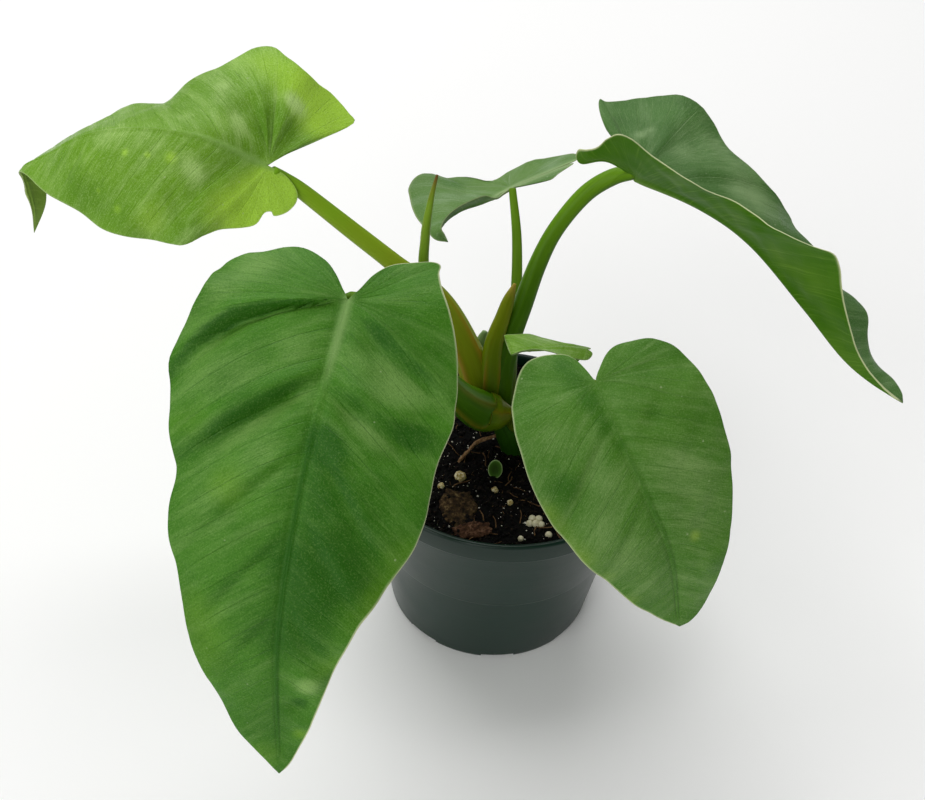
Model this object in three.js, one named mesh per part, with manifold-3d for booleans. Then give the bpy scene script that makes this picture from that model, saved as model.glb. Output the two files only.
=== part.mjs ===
// A potted philodendron giganteum: heart shaped leaves on arching stalks that spring from one
// short stem, in a round nursery pot of moulded plastic filled with peat and perlite.
// Millimetres, +Z up. The origin is the centre of the pot's base, and the front faces -Y.
import * as THREE from 'three';
import { mergeVertices } from 'three/addons/utils/BufferGeometryUtils.js';
import Module from 'manifold-3d';

const wasm = await Module();
wasm.setup();
const { Manifold, Mesh: SolidMesh } = wasm;

// Driving dimensions
const GAP = 0.3;
const CRUMB = 0.04;
const POT_HEIGHT = 109;
const RIM_RADIUS = 76;
const RIM_BAND = 11.5;
const RIM_LIP = 3;
const BASE_RADIUS = 56.6;
const STEP_HEIGHT = 53;
const STEP_RADIUS = 64.4;
const POT_WALL = 1.6;
const FLOOR_THICKNESS = 2.4;
const DRAIN_COUNT = 8;
const DRAIN_WIDTH = 18;
const DRAIN_DEPTH = 2.4;
const DRAIN_START = 38;
const DRAIN_HOLE = 5;
const DRAIN_HOLE_AT = 47;
const SOIL_TOP = 103;
const SOIL_ROUGHNESS = 1.4;
const BLADE_THICKNESS = 0.8;
const MIDRIB_DEPTH = 1.8;
const MIDRIB_SHARE = 0.05;
const VEIN_SLANT = 0.7;
const VEIN_BEND = 1.2;
const CURL_REACH = 60;
const FOLD_WIDTH = 4;
const STEM_PATH = [[6.4, 1, 84], [6.4, 1, 103], [4, 1, 114], [-2, 2, 127]];
const STEM_RADII = [7, 7, 8, 6.5];

// Each leaf: a midrib curve whose second point is where the stalk joins, the way its upper face
// looks along that curve, how far each half lifts (left, right, in degrees), how much each half
// curls over 60 mm, and the edge of each half as [along the midrib, across it]. One leaf has a
// corner that hangs: everything near that place is drawn away by so much.
const LEAVES = {
  front_left: {
    spine: [[-69, -52, 259], [-70, -80, 251], [-77, -118, 227], [-82, -155, 202],
      [-86, -183, 160], [-86, -196, 97]],
    face: [[0.05, -0.75, 0.65], [0.05, -0.75, 0.65]],
    lift: [[6, 6], [6, 6], [2, 2], [0, 0], [0, 0], [0, 0]],
    curl: [-30, -30],
    wave: { height: 1.4, length: 46, phase: 0.6 },
    left: [[-1.5, 1], [-6, 4.5], [-12, 8], [-18, 14], [-22, 22], [-26, 31], [-25, 35],
      [-18, 34.5], [-10, 37], [3, 45], [11, 49], [23, 52], [36, 53.5], [50, 52.5], [64, 52],
      [80, 50], [96, 47.5], [108, 42], [118, 37], [130, 30], [146, 24.5], [158, 20.5],
      [172, 15.5], [187, 10.5], [200, 5], [206.5, 0]],
    right: [[-1.5, 1], [-5, 3.6], [-11, 7], [-18, 12], [-23, 20], [-24, 29], [-22, 38],
      [-21.5, 46], [-17, 54], [-7, 56.5], [4, 57.5], [17, 61], [33, 65], [44, 63.5], [55, 59],
      [63, 57], [76, 52], [96, 49], [115, 44], [141, 34], [168, 23], [184, 15], [200, 4.5],
      [206.5, 0]],
  },
  front_right: {
    spine: [[20, -54, 217], [33, -76, 214], [44, -94, 201], [58, -108, 180], [72, -116, 152],
      [82, -116, 109]],
    face: [[0.05, -0.75, 0.65], [0.05, -0.75, 0.65]],
    lift: [[4, 4], [4, 4], [2, 2], [0, 0], [0, 0], [0, 0]],
    curl: [-20, -20],
    wave: { height: 0.8, length: 38, phase: 2.1 },
    left: [[-1.5, 0.8], [-4.2, 4], [-8, 10], [-9, 16], [-7, 23.5], [-5, 29.5], [-2.5, 33.5],
      [0.5, 37], [4.5, 39.5], [10.5, 42], [18, 43], [29.5, 43.5], [41, 43], [51, 41], [64, 37],
      [72, 34], [80.5, 30.5], [88, 26.5], [96, 22], [107, 18], [119, 13.5], [126, 8.5],
      [130, 3.5], [130.6, 0]],
    right: [[-1.5, 0.2], [-7, 0.5], [-15, 1.2], [-21, 4], [-25.5, 10.5], [-27.5, 17.5],
      [-25.5, 23.5], [-21, 29], [-15.5, 34], [-9, 37], [6.5, 40], [17.5, 41], [26.5, 42],
      [38, 42], [50.5, 41], [59, 38.5], [68.5, 36], [81, 32], [95, 27], [108, 19.5], [116.5, 13],
      [124, 7], [130.6, 0]],
  },
  back_left: {
    spine: [[-97, 38, 231], [-121, 32, 244], [-147, 24, 261], [-176, 22, 265], [-204, 27, 257],
      [-226, 32, 242.5], [-240, 34, 233], [-240, 35, 221], [-240, 37, 208], [-243, 40, 192]],
    face: [[0, -0.3, 0.95], [0, -0.3, 0.95], [0, -0.3, 0.95], [0, -0.3, 0.95],
      [-0.15, -0.25, 0.95], [-0.45, -0.2, 0.85], [-0.85, 0.05, 0.45], [-0.7, 0.6, 0],
      [-0.5, 0.8, -0.2], [-0.5, 0.8, -0.2]],
    lift: [[-18, 28], [-20, 30], [-22, 0], [-22, -20.5], [-18, -19.5], [-10, -24], [0, -22], [0, 0],
      [0, 0], [0, 0]],
    curl: [-24, -12],
    wave: { height: 1.2, length: 40, phase: 1.2 },
    left: [[-1.5, 0.5], [-8, 1], [-13, 3.5], [-17, 7.5], [-17.5, 13], [-14, 19], [-9, 22.5],
      [-7, 21], [-4, 23], [-2, 29], [3, 33], [12, 38], [18, 43], [27, 50], [39, 51.5], [52, 51],
      [67, 50], [81, 46.5], [91, 40.5], [102, 33.5], [113, 25.5], [121, 17.5], [128, 10],
      [136, 3.5], [142, 1], [150, 1.5], [156, 1], [165, 0.5], [178, 0]],
    right: [[-1.5, 1.7], [-7, 8], [-14, 14.5], [-22, 22], [-36, 36], [-32, 41], [-23, 47],
      [-14, 48.5], [-4, 51], [4, 55], [10, 61], [16, 61], [22, 55.5], [28, 51], [35, 48],
      [45, 44.5], [62, 37.5], [80, 33], [100, 32], [116, 26], [130, 17], [142, 11], [150, 10],
      [158, 7.5], [164, 5], [172, 2], [178, 0]],
  },
  back_centre: {
    spine: [[28, 112, 212], [-4, 100, 201], [-17, 90, 198], [-29, 80, 198], [-37, 70, 197],
      [-40, 62, 195], [-35, 60, 190]],
    face: [[0, 0.1, 1], [0, 0, 1], [-0.1, -0.1, 1], [-0.2, -0.2, 0.9], [-0.4, -0.3, 0.8],
      [-0.5, -0.3, 0.7], [-0.5, -0.3, 0.6]],
    lift: [[-12, -8], [-6, -14], [44, -6], [54, 0], [50, 0], [40, 0], [20, 0]],
    curl: [5, 0],
    wave: { height: 0.8, length: 24, phase: 0 },
    left: [[-1.5, 0.15], [-12, 0.15], [-24, 0.15], [-34, 0.3], [-36.5, 1], [-33, 2.2],
      [-26.8, 4.1], [-21.8, 6.1], [-17.7, 4.9], [-11.6, 2.4], [-7, 1.4], [-2.5, 1], [2, 0.9],
      [7, 1.6], [13, 4.5], [20, 9.5], [27, 12], [34, 11], [43, 7], [51, 4], [57, 2], [62, 0]],
    right: [[-1.5, 0.15], [-14, 0.15], [-30, 0.2], [-39, 0.6], [-42, 4], [-41, 9], [-39.5, 12],
      [-33, 19], [-25, 24.5], [-14, 25], [-6, 24], [-1, 19], [3, 17.5], [6, 24], [8, 33],
      [14, 38], [23, 39.5], [31, 39], [36.5, 36], [39.5, 31], [45.5, 20.5], [50, 12], [54, 6],
      [58, 3], [62, 0]],
  },
  back_right: {
    spine: [[28, 60, 242], [54, 44, 243], [83, 26, 241], [106, 8, 234], [131, -14, 216],
      [153, -30, 198], [179, -39, 184]],
    face: [[-0.1, 0.5, 0.86], [-0.1, 0.5, 0.86], [0.1, 0.5, 0.86], [0.3, 0.5, 0.8],
      [0.5, 0.4, 0.7], [0.65, 0.35, 0.6], [0.7, 0.3, 0.5]],
    lift: [[42, 24], [38, 24], [32, 18], [30, 16], [38, 24], [42, 24], [30, 20]],
    curl: [-12, 8],
    wave: { height: 1.6, length: 44, phase: 0.4 },
    hang: { half: 'right', along: -18, across: 27, radius: 8, by: [-3, 0, -9] },
    left: [[-1.5, 1.5], [-12, 11], [-26, 23], [-32, 27], [-39, 34], [-43.5, 40], [-45, 44.3],
      [-42, 44.6], [-38.7, 47.3], [-32.6, 55.3], [-27.8, 60.5], [-21.8, 65.8], [-13.9, 69.7],
      [-4, 70.5], [7.5, 69.5], [15, 64], [23, 58], [33, 53], [42, 50], [52, 55.5], [61, 57],
      [70, 48.5], [82, 44], [95, 41.5], [105, 40], [114, 41], [124, 38.5], [131.5, 34],
      [137.5, 26], [151, 16], [160, 12.5], [165, 6], [164.5, 0]],
    right: [[-1.5, 1.2], [-4, 4.6], [-6.5, 9], [-9.5, 13.8], [-14, 20.5], [-17.5, 25.7],
      [-19.8, 29.8], [-18.5, 32.8], [-14.5, 33.8], [-10, 34.5], [-6, 40], [-1, 45.5], [4, 44],
      [14, 35], [32, 32.5], [48, 28.5], [63, 31], [76, 39], [84, 42], [91, 45.5], [97, 40],
      [107, 29.5], [117.5, 22.5], [129, 12.5], [140, 6.5], [152, 3], [164.5, 0]],
  },
  low: {
    spine: [[46, 2, 171], [36.4, -2, 174.2], [24, -7, 178.6], [11.9, -13, 181], [3.4, -18, 183],
      [-0.7, -20, 181.2]],
    face: [[0, 0, 1], [0, 0, 1], [0, 0, 1], [0, 0, 1], [-0.2, 0, 0.9], [-0.5, 0, 0.7]],
    lift: [[-20, -18], [-16, -18], [-4, -14], [26, -10], [34, 0], [10, 0]],
    curl: [0, 0],
    wave: { height: 0.4, length: 20, phase: 0 },
    left: [[-1, 0.6], [-2.6, 2.1], [-1.6, 4.2], [1.3, 6.7], [4.5, 7.6], [9.9, 8], [17.6, 9.4],
      [34, 1.5], [39, 1], [42.8, 0]],
    right: [[-1, 0.6], [-3, 1], [-3.8, 2.5], [-1.5, 4.2], [2.5, 4.8], [9.8, 5.4], [15.4, 9.7],
      [22, 15.3], [29.9, 16.4], [37.5, 15.4], [41, 14.5], [42, 8], [42.8, 0]],
  },
};

// Leaf stalks, from the crown outwards: the route and the radius at each of its points.
const STALKS = {
  front_left: {
    path: [[2, -9, 134], [-5, -11, 133.5], [-14, -12, 137.5], [-26, -24, 160], [-43, -42, 197],
      [-57, -57, 225], [-68.5, -73.5, 246], [-70, -78.5, 248.4]],
    radii: [1.2, 6.5, 9.6, 6.9, 5.3, 4.7, 4.2, 2.8],
  },
  back_left: {
    path: [[-7, 3, 122], [-14, 5, 140], [-22, 10, 160], [-37, 18, 183], [-60, 24, 199],
      [-80.2, 29.7, 211.9], [-104.6, 34.4, 229], [-114, 35.2, 235.4], [-119, 32.5, 240.5]],
    radii: [8, 8.2, 7.6, 6, 4.7, 4.4, 3.9, 3.3, 2.8],
  },
  back_right: {
    path: [[-3, 4, 122], [-4.3, 6, 142], [-1, 12, 164], [4.6, 20, 183], [10.3, 29, 201],
      [17.7, 36, 217], [30, 43, 233], [42, 45, 242.5], [52, 45, 247.5]],
    radii: [8, 7.4, 5.7, 5, 4.5, 4.1, 4.2, 4.2, 2.8],
  },
  front_right: {
    path: [[7, -3, 124], [13, -13, 150], [20, -34, 174], [28, -60, 200], [33, -75, 211]],
    radii: [6, 5, 4.2, 3.6, 2.6],
  },
  back_centre: {
    path: [[1.5, 14, 122], [1.3, 30, 147], [2.3, 55, 165], [1, 80, 183], [-3, 99, 198.5]],
    radii: [4.5, 3.6, 3, 2.6, 2],
  },
  low: {
    path: [[9, -1, 124], [18, -1, 144], [28, -1, 161], [36, -1.5, 172.5]],
    radii: [3.4, 2.4, 1.9, 1.4],
  },
};

// The sheath on the tall stalk, a shoot that is still rolled up, and the cut of an old sheath
const SHEATH = { path: [[-8, 1, 132], [-9, 4, 150], [-8.5, 8, 166], [-5, 13, 179],
  [-2.8, 15.3, 188], [-0.5, 17, 196.5]], radii: [5.5, 5.5, 4.7, 3.7, 2.9, 0.8] };
const SHOOT = { path: [[-20.5, 18, 150], [-34.5, 26.5, 172], [-45, 30, 190], [-45.5, 30, 212],
  [-43.5, 30, 232], [-41, 30, 246]], radii: [3.1, 3.1, 2.8, 2.3, 1.5, 0.6] };
const OLD_SHEATH = { path: [[-9, 12, 126], [-12, 18, 146], [-11, 23, 161]], radii: [4.5, 4, 1.4] };
const ROOT = { path: [[-3, -1, 113], [-12.2, -1.5, 108.4], [-16.8, -6, 106], [-21.5, -12, 103.4],
  [-23.2, -15.5, 100]], radii: [1, 1, 0.9, 0.85, 0.7] };

// Bark chips, as an outline, where it lies, how it is turned and tipped, and its thickness
const CHIPS = {
  bark_chip_long: {
    outline: [[-9, 11], [3, 12], [9, 4], [7, -6], [2, -13], [-6, -8], [-11, 1]],
    at: [-20, -47, 103.4], turn: -8, tip: [4, 3], thickness: 2.6,
  },
  bark_chip_flat: {
    outline: [[-9, 3], [0, 5], [9, 3], [10, -3], [3, -5], [-8, -4]],
    at: [-13.5, -61.2, 104.2], turn: 14, tip: [6, -2], thickness: 1.8,
  },
};

// Pale grains that lie on the soil: where they lie and their radius
const PRILLS = [[16.2, -50.8, 1.9], [19.4, -51, 1.9], [18, -54.2, 2], [14.8, -54, 1.8],
  [20.6, -54.6, 1.7]];
const LOOSE_GRAINS = {
  prill_near_rim: [24.2, -60.7, 1.8],
  prill_front: [10.6, -63.9, 1.5],
  perlite_by_root: [-20.6, -24.5, 3],
  perlite_left: [-30, -32.5, 1.8],
  perlite_middle: [-2.7, -31.8, 1.7],
  perlite_right: [5.2, -40.3, 1.6],
};
const SEEDLING = { at: [-3.0, -19.6, 106.6], size: [3.7, 1.1, 5.2], tip: -20 };

const COLOURS = {
  pot: { color: '#2c4239', roughness: 0.55 },
  soil: { color: '#1c1512', roughness: 0.95 },
  stem: { color: '#3d5a1c', roughness: 0.6 },
  stalk: { color: '#4f7a24', roughness: 0.5 },
  leaf: { color: '#2c6316', roughness: 0.4 },
  young_leaf: { color: '#6fa528', roughness: 0.38 },
  dull_leaf: { color: '#4a7a44', roughness: 0.45 },
  root: { color: '#6a4c33', roughness: 0.85 },
  bark: { color: '#5a3f2a', roughness: 0.9 },
  grain: { color: '#c9c3a8', roughness: 0.9 },
};

// A small seeded generator, so that the rough places come out alike every time
function seeded(seed) {
  let state = seed;
  return () => {
    state = (state * 1664525 + 1013904223) % 4294967296;
    return state / 4294967296;
  };
}

// A smooth curve through points in space
function rail(points) {
  const vectors = points.map((p) => new THREE.Vector3(p[0], p[1], p[2] ?? 0));
  return new THREE.CatmullRomCurve3(vectors, false, 'catmullrom', 0.5);
}

// Turns a closed three.js geometry into a solid that can be cut
function toSolid(geometry) {
  const bare = new THREE.BufferGeometry();
  bare.setAttribute('position', geometry.getAttribute('position').clone());
  if (geometry.index) bare.setIndex(geometry.index.clone());
  const joined = mergeVertices(bare, 1e-4);
  const triangles = [];
  const index = joined.index.array;
  for (let i = 0; i < index.length; i += 3) {
    const [a, b, c] = [index[i], index[i + 1], index[i + 2]];
    if (a !== b && b !== c && c !== a) triangles.push(a, b, c);
  }
  return new Manifold(new SolidMesh({
    numProp: 3,
    vertProperties: new Float32Array(joined.getAttribute('position').array),
    triVerts: new Uint32Array(triangles),
  }));
}

// Turns a solid into a named mesh; where a cut left crumbs, only the largest body is kept
function toMesh(name, solid, look) {
  const bodies = solid.simplify(CRUMB).decompose().sort((a, b) => b.volume() - a.volume());
  const { vertProperties, triVerts } = bodies[0].getMesh();
  const geometry = new THREE.BufferGeometry();
  geometry.setAttribute('position', new THREE.BufferAttribute(new Float32Array(vertProperties), 3));
  geometry.setIndex([...triVerts]);
  geometry.computeVertexNormals();
  const material = new THREE.MeshStandardMaterial({ ...COLOURS[look], metalness: 0 });
  const mesh = new THREE.Mesh(geometry, material);
  mesh.name = name;
  return mesh;
}

function geometryFrom(vertices, triangles) {
  const geometry = new THREE.BufferGeometry();
  geometry.setAttribute('position', new THREE.Float32BufferAttribute(vertices.flat(), 3));
  geometry.setIndex(triangles.flat());
  return geometry;
}

// A round stalk with closed ends whose radius changes along its route
function taperedTube({ path, radii }, { sides = 10, steps = 4, grow = 0 } = {}) {
  const curve = rail(path);
  const widths = rail(radii.map((r) => [r, 0]));
  const rings = steps * (path.length - 1);
  const { normals, binormals } = curve.computeFrenetFrames(rings, false);
  const vertices = [];
  const triangles = [];
  for (let i = 0; i <= rings; i += 1) {
    const t = curve.getUtoTmapping(i / rings);
    const overrun = i === 0 ? -grow : i === rings ? grow : 0;
    const centre = curve.getPoint(t).addScaledVector(curve.getTangent(t), overrun);
    const radius = widths.getPoint(t).x + grow;
    for (let j = 0; j < sides; j += 1) {
      const angle = (2 * Math.PI * j) / sides;
      const point = centre.clone();
      point.addScaledVector(normals[i], radius * Math.cos(angle));
      point.addScaledVector(binormals[i], radius * Math.sin(angle));
      vertices.push(point.toArray());
    }
  }
  for (let i = 0; i < rings; i += 1) {
    for (let j = 0; j < sides; j += 1) {
      const [a, b] = [i * sides + j, i * sides + ((j + 1) % sides)];
      triangles.push([a, b, b + sides], [a, b + sides, a + sides]);
    }
  }
  for (let j = 1; j < sides - 1; j += 1) {
    const end = rings * sides;
    triangles.push([0, j + 1, j], [end, end + j, end + j + 1]);
  }
  const solid = toSolid(geometryFrom(vertices, triangles));
  return solid.volume() > 0 ? solid : toSolid(geometryFrom(vertices, triangles.map((t) => t.reverse())));
}

// Bends a flat blade, given along and across its midrib, on to its midrib's curve in space
function bender(leaf) {
  const spine = rail(leaf.spine);
  const last = leaf.spine.length - 1;
  spine.arcLengthDivisions = 40 * last;
  const face = rail(leaf.face);
  const lift = rail(leaf.lift);
  const lengths = spine.getLengths();
  const behind = lengths[40];
  const whole = lengths[lengths.length - 1];
  const { hang } = leaf;

  function frame(along) {
    const distance = Math.min(Math.max(along + behind, 0), whole);
    const t = spine.getUtoTmapping(0, distance);
    const tangent = spine.getTangent(t);
    const origin = spine.getPoint(t).addScaledVector(tangent, along + behind - distance);
    const up = face.getPoint(t);
    up.addScaledVector(tangent, -up.dot(tangent)).normalize();
    const out = tangent.clone().cross(up);
    return { t, origin, up, out };
  }

  function at(side, along, across, height) {
    const { t, origin, up, out } = frame(along);
    const sign = side === 'right' ? 1 : -1;
    const tilt = THREE.MathUtils.degToRad(side === 'right' ? lift.getPoint(t).y : lift.getPoint(t).x);
    const bend = THREE.MathUtils.degToRad(leaf.curl[side === 'right' ? 1 : 0]) / CURL_REACH || 1e-6;
    const end = tilt + bend * across;
    const point = origin.clone();
    point.addScaledVector(out, (sign * (Math.sin(end) - Math.sin(tilt))) / bend);
    point.addScaledVector(up, -(Math.cos(end) - Math.cos(tilt)) / bend);
    const lean = end * Math.min(1, across / FOLD_WIDTH);
    const normal = up.clone().multiplyScalar(Math.cos(lean));
    normal.addScaledVector(out, -sign * Math.sin(lean));
    if (hang?.half === side) {
      const far = (along - hang.along) ** 2 + (across - hang.across) ** 2;
      point.addScaledVector(new THREE.Vector3(...hang.by), Math.exp(-far / hang.radius ** 2));
    }
    return point.addScaledVector(normal, height);
  }

  function midribAt(along, height) {
    const { origin, up } = frame(along);
    return origin.clone().addScaledVector(up, height);
  }

  return { at, midribAt, length: whole - behind };
}

// Where the side veins of one half end on its edge: a fan into the lobe, then one for each
// station along the midrib. Each entry holds its start on the midrib and its end on the edge.
function veinEnds(outline, stations, fan) {
  const edge = rail(outline);
  const samples = edge.getPoints(40 * (outline.length - 1));
  const start = (p) => p.x - VEIN_SLANT * p.y;
  const lobeEnd = samples.findLastIndex((p) => start(p) < 0);
  const ends = [];
  for (let i = 0; i < fan; i += 1) {
    const p = samples[Math.round((lobeEnd * i) / fan)];
    ends.push({ from: 0, along: p.x, across: Math.max(p.y, 0) });
  }
  stations.forEach((from) => {
    const p = samples.find((q, i) => i >= lobeEnd && start(q) >= from) ?? samples[samples.length - 1];
    ends.push({ from, along: p.x, across: Math.max(p.y, 0) });
  });
  return ends;
}

// A blade: both faces triangulated alike, a keel under the midrib and waves along the edge
function blade(leaf, { fan = 11, stationCount = 11, rows = 5, grow = 0 } = {}) {
  const { at, midribAt, length } = bender(leaf);
  const stations = [];
  for (let i = 0; i < stationCount; i += 1) stations.push((length * 0.985 * i) / stationCount);
  const shares = [0, MIDRIB_SHARE];
  for (let i = 1; i <= rows; i += 1) shares.push(i / rows);
  const half = BLADE_THICKNESS / 2 + grow;
  const vertices = [];
  const triangles = [];

  function vertexPair(side, along, across, lifted, keel) {
    vertices.push(at(side, along, across, lifted + half).toArray());
    vertices.push(at(side, along, across, lifted - half - keel).toArray());
    return vertices.length - 2;
  }

  function midribPair(along, keel) {
    vertices.push(midribAt(along, half).toArray(), midribAt(along, -half - keel).toArray());
    return vertices.length - 2;
  }

  const midrib = stations.map((s) => midribPair(s, MIDRIB_DEPTH * (1 - (0.7 * s) / length)));
  const tip = midribPair(length, 0);
  const quad = (a, b, c, d, flip) => {
    const faces = [[a, b, c], [a, c, d]];
    faces.forEach((f) => {
      if (new Set(f).size === 3) triangles.push(flip ? f.reverse() : f);
    });
  };

  ['left', 'right'].forEach((side) => {
    const flip = side === 'left';
    const lines = veinEnds(leaf[side], stations, fan).map(({ from, along, across }, i) => {
      const root = midrib[i < fan ? 0 : i - fan];
      return shares.map((share, j) => {
        if (j === 0) return root;
        const a = from + (along - from) * share ** VEIN_BEND;
        const b = across * share;
        const turn = (2 * Math.PI * along) / leaf.wave.length + leaf.wave.phase + (flip ? 2 : 0);
        const fade = Math.min(1, across / 20);
        return vertexPair(side, a, b, leaf.wave.height * fade * share ** 2 * Math.sin(turn), 0);
      });
    });
    lines.push(shares.map(() => tip));
    for (let i = 0; i < lines.length - 1; i += 1) {
      for (let j = 0; j < shares.length - 1; j += 1) {
        const [a, b, c, d] = [lines[i][j], lines[i][j + 1], lines[i + 1][j + 1], lines[i + 1][j]];
        quad(a, b, c, d, flip);
        quad(a + 1, b + 1, c + 1, d + 1, !flip);
      }
      const [p, q] = [lines[i][shares.length - 1], lines[i + 1][shares.length - 1]];
      quad(p, p + 1, q + 1, q, flip);
    }
    for (let j = 0; j < shares.length - 1; j += 1) {
      const [p, q] = [lines[0][j], lines[0][j + 1]];
      quad(p, p + 1, q + 1, q, flip);
    }
  });
  const solid = toSolid(geometryFrom(vertices, triangles));
  return solid.volume() > 0 ? solid : toSolid(geometryFrom(vertices, triangles.map((t) => t.reverse())));
}

// The pot: one turned shell with a stepped wall, a rolled rim and channels under its base
function pot() {
  const band = POT_HEIGHT - RIM_BAND;
  const neck = RIM_RADIUS - 2.2;
  const outer = [[0, 0], [BASE_RADIUS - 2, 0], [BASE_RADIUS - 0.4, 0.7], [BASE_RADIUS, 2.4],
    [STEP_RADIUS, STEP_HEIGHT], [STEP_RADIUS + 0.6, STEP_HEIGHT + 1], [neck, band - 0.6],
    [RIM_RADIUS - 1, band], [RIM_RADIUS - 0.4, band + 1], [RIM_RADIUS, POT_HEIGHT - 1.4],
    [RIM_RADIUS - 0.7, POT_HEIGHT - 0.3], [RIM_RADIUS - 1.5, POT_HEIGHT]];
  const lip = RIM_RADIUS - RIM_LIP;
  const inner = [[lip, POT_HEIGHT - 0.6], [lip - 0.5, POT_HEIGHT - 2.4], [neck - POT_WALL, band],
    [STEP_RADIUS + 0.6 - POT_WALL, STEP_HEIGHT + 1],
    [STEP_RADIUS - POT_WALL, STEP_HEIGHT], [BASE_RADIUS - POT_WALL, FLOOR_THICKNESS + 4],
    [BASE_RADIUS - POT_WALL - 3, FLOOR_THICKNESS + 2.6], [0, FLOOR_THICKNESS + 2.6]];
  const profile = [...outer, ...inner].map(([r, z]) => new THREE.Vector2(r, z));
  const shell = new THREE.LatheGeometry(profile, 48).rotateX(Math.PI / 2);
  let solid = toSolid(shell);
  if (solid.volume() < 0) {
    const turned = new THREE.LatheGeometry(profile.reverse(), 48).rotateX(Math.PI / 2);
    solid = toSolid(turned);
  }
  const reach = BASE_RADIUS + 4 - DRAIN_START;
  for (let i = 0; i < DRAIN_COUNT; i += 1) {
    const angle = -Math.PI / 2 + (2 * Math.PI * i) / DRAIN_COUNT + 0.11;
    const channel = new THREE.BoxGeometry(reach, DRAIN_WIDTH, 2 * DRAIN_DEPTH);
    channel.translate(DRAIN_START + reach / 2, 0, 0).rotateZ(angle);
    const hole = new THREE.CylinderGeometry(DRAIN_HOLE, DRAIN_HOLE, 30, 12).rotateX(Math.PI / 2);
    hole.translate(DRAIN_HOLE_AT * Math.cos(angle), DRAIN_HOLE_AT * Math.sin(angle), 0);
    solid = solid.subtract(toSolid(channel)).subtract(toSolid(hole));
  }
  return solid;
}

// Height of the soil's surface: low mounds that fade out at the pot's wall
function soilHeight(x, y) {
  const broad = Math.sin(x * 0.21 + 1.3) * Math.cos(y * 0.17 + 0.4);
  const narrow = 0.6 * Math.sin(x * 0.53 + y * 0.41);
  return SOIL_TOP + SOIL_ROUGHNESS * 0.5 * (broad + narrow);
}

// The soil: it fills the pot, a little clear of the wall, and its surface is rough
function soil() {
  const sides = 36;
  const rims = [0, 10, 20, 30, 40, 50, 60, 67, 71.2];
  const random = seeded(7);
  const inset = POT_WALL + GAP + 0.15;
  const neck = RIM_RADIUS - 2.2 - inset;
  const band = POT_HEIGHT - RIM_BAND;
  const wall = [[neck, band], [STEP_RADIUS + 0.6 - inset, STEP_HEIGHT + 1.4],
    [STEP_RADIUS - inset, STEP_HEIGHT], [BASE_RADIUS - inset, FLOOR_THICKNESS + 6],
    [BASE_RADIUS - inset - 4, FLOOR_THICKNESS + 3]];
  const vertices = [[0, 0, soilHeight(0, 0)]];
  const rings = [];
  const ring = (radius, height) => {
    const start = vertices.length;
    for (let j = 0; j < sides; j += 1) {
      const angle = (2 * Math.PI * (j + (radius > 70 ? 0 : 0.3 * (random() - 0.5)))) / sides;
      const [x, y] = [radius * Math.cos(angle), radius * Math.sin(angle)];
      vertices.push([x, y, height ?? soilHeight(x, y) + SOIL_ROUGHNESS * (random() - 0.5)]);
    }
    rings.push(start);
  };
  rims.slice(1).forEach((radius) => ring(radius * (radius > 70 ? neck / radius : 1)));
  wall.forEach(([radius, height]) => ring(radius, height));
  vertices.push([0, 0, FLOOR_THICKNESS + 3]);
  const triangles = [];
  for (let j = 0; j < sides; j += 1) {
    const k = (j + 1) % sides;
    triangles.push([0, rings[0] + j, rings[0] + k]);
    for (let i = 0; i < rings.length - 1; i += 1) {
      const [a, b, c, d] = [rings[i] + j, rings[i + 1] + j, rings[i + 1] + k, rings[i] + k];
      triangles.push([a, b, c], [a, c, d]);
    }
    triangles.push([vertices.length - 1, rings[rings.length - 1] + k, rings[rings.length - 1] + j]);
  }
  return toSolid(geometryFrom(vertices, triangles));
}

// A broken piece of bark, thicker in the middle, lying on the soil
function chip({ outline, at, turn, tip, thickness }, grow = 0) {
  const wider = 1 + grow / 9;
  const corners = outline.map(([x, y]) => new THREE.Vector2(x * wider, y * wider));
  const geometry = new THREE.ExtrudeGeometry(new THREE.Shape(corners), {
    depth: thickness - 0.8 + 2 * grow,
    bevelEnabled: true,
    bevelThickness: 0.4,
    bevelSize: 0.6,
    bevelSegments: 1,
  });
  geometry.translate(0, 0, 0.4 - thickness / 2 - grow);
  geometry.rotateX(THREE.MathUtils.degToRad(tip[0])).rotateY(THREE.MathUtils.degToRad(tip[1]));
  geometry.rotateZ(THREE.MathUtils.degToRad(turn)).translate(...at);
  return toSolid(geometry);
}

// A pale grain, half sunk into the soil
function grain([x, y, radius], detail, grow = 0) {
  const ball = new THREE.IcosahedronGeometry(radius + grow, detail);
  ball.rotateX(x).rotateZ(y).translate(x, y, soilHeight(x, y) + radius * 0.45);
  return toSolid(ball);
}

function seedling(grow = 0) {
  const [x, y, z] = SEEDLING.size;
  const leaf = new THREE.SphereGeometry(1, 10, 6).scale(x + grow, y + grow, z + grow);
  leaf.rotateX(THREE.MathUtils.degToRad(SEEDLING.tip)).translate(...SEEDLING.at);
  return toSolid(leaf);
}

const group = new THREE.Group();
const add = (name, solid, look) => group.add(toMesh(name, solid, look));

// The stem and the stalks: each clasps those before it, so what came before is cut out of it
const clearances = [taperedTube({ path: STEM_PATH, radii: STEM_RADII }, { sides: 14, grow: GAP })];
const clasped = (solid) => clearances.reduce((left, other) => left.subtract(other), solid);
const stem = taperedTube({ path: STEM_PATH, radii: STEM_RADII }, { sides: 14 });
add('crown_stem', stem, 'stem');

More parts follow.
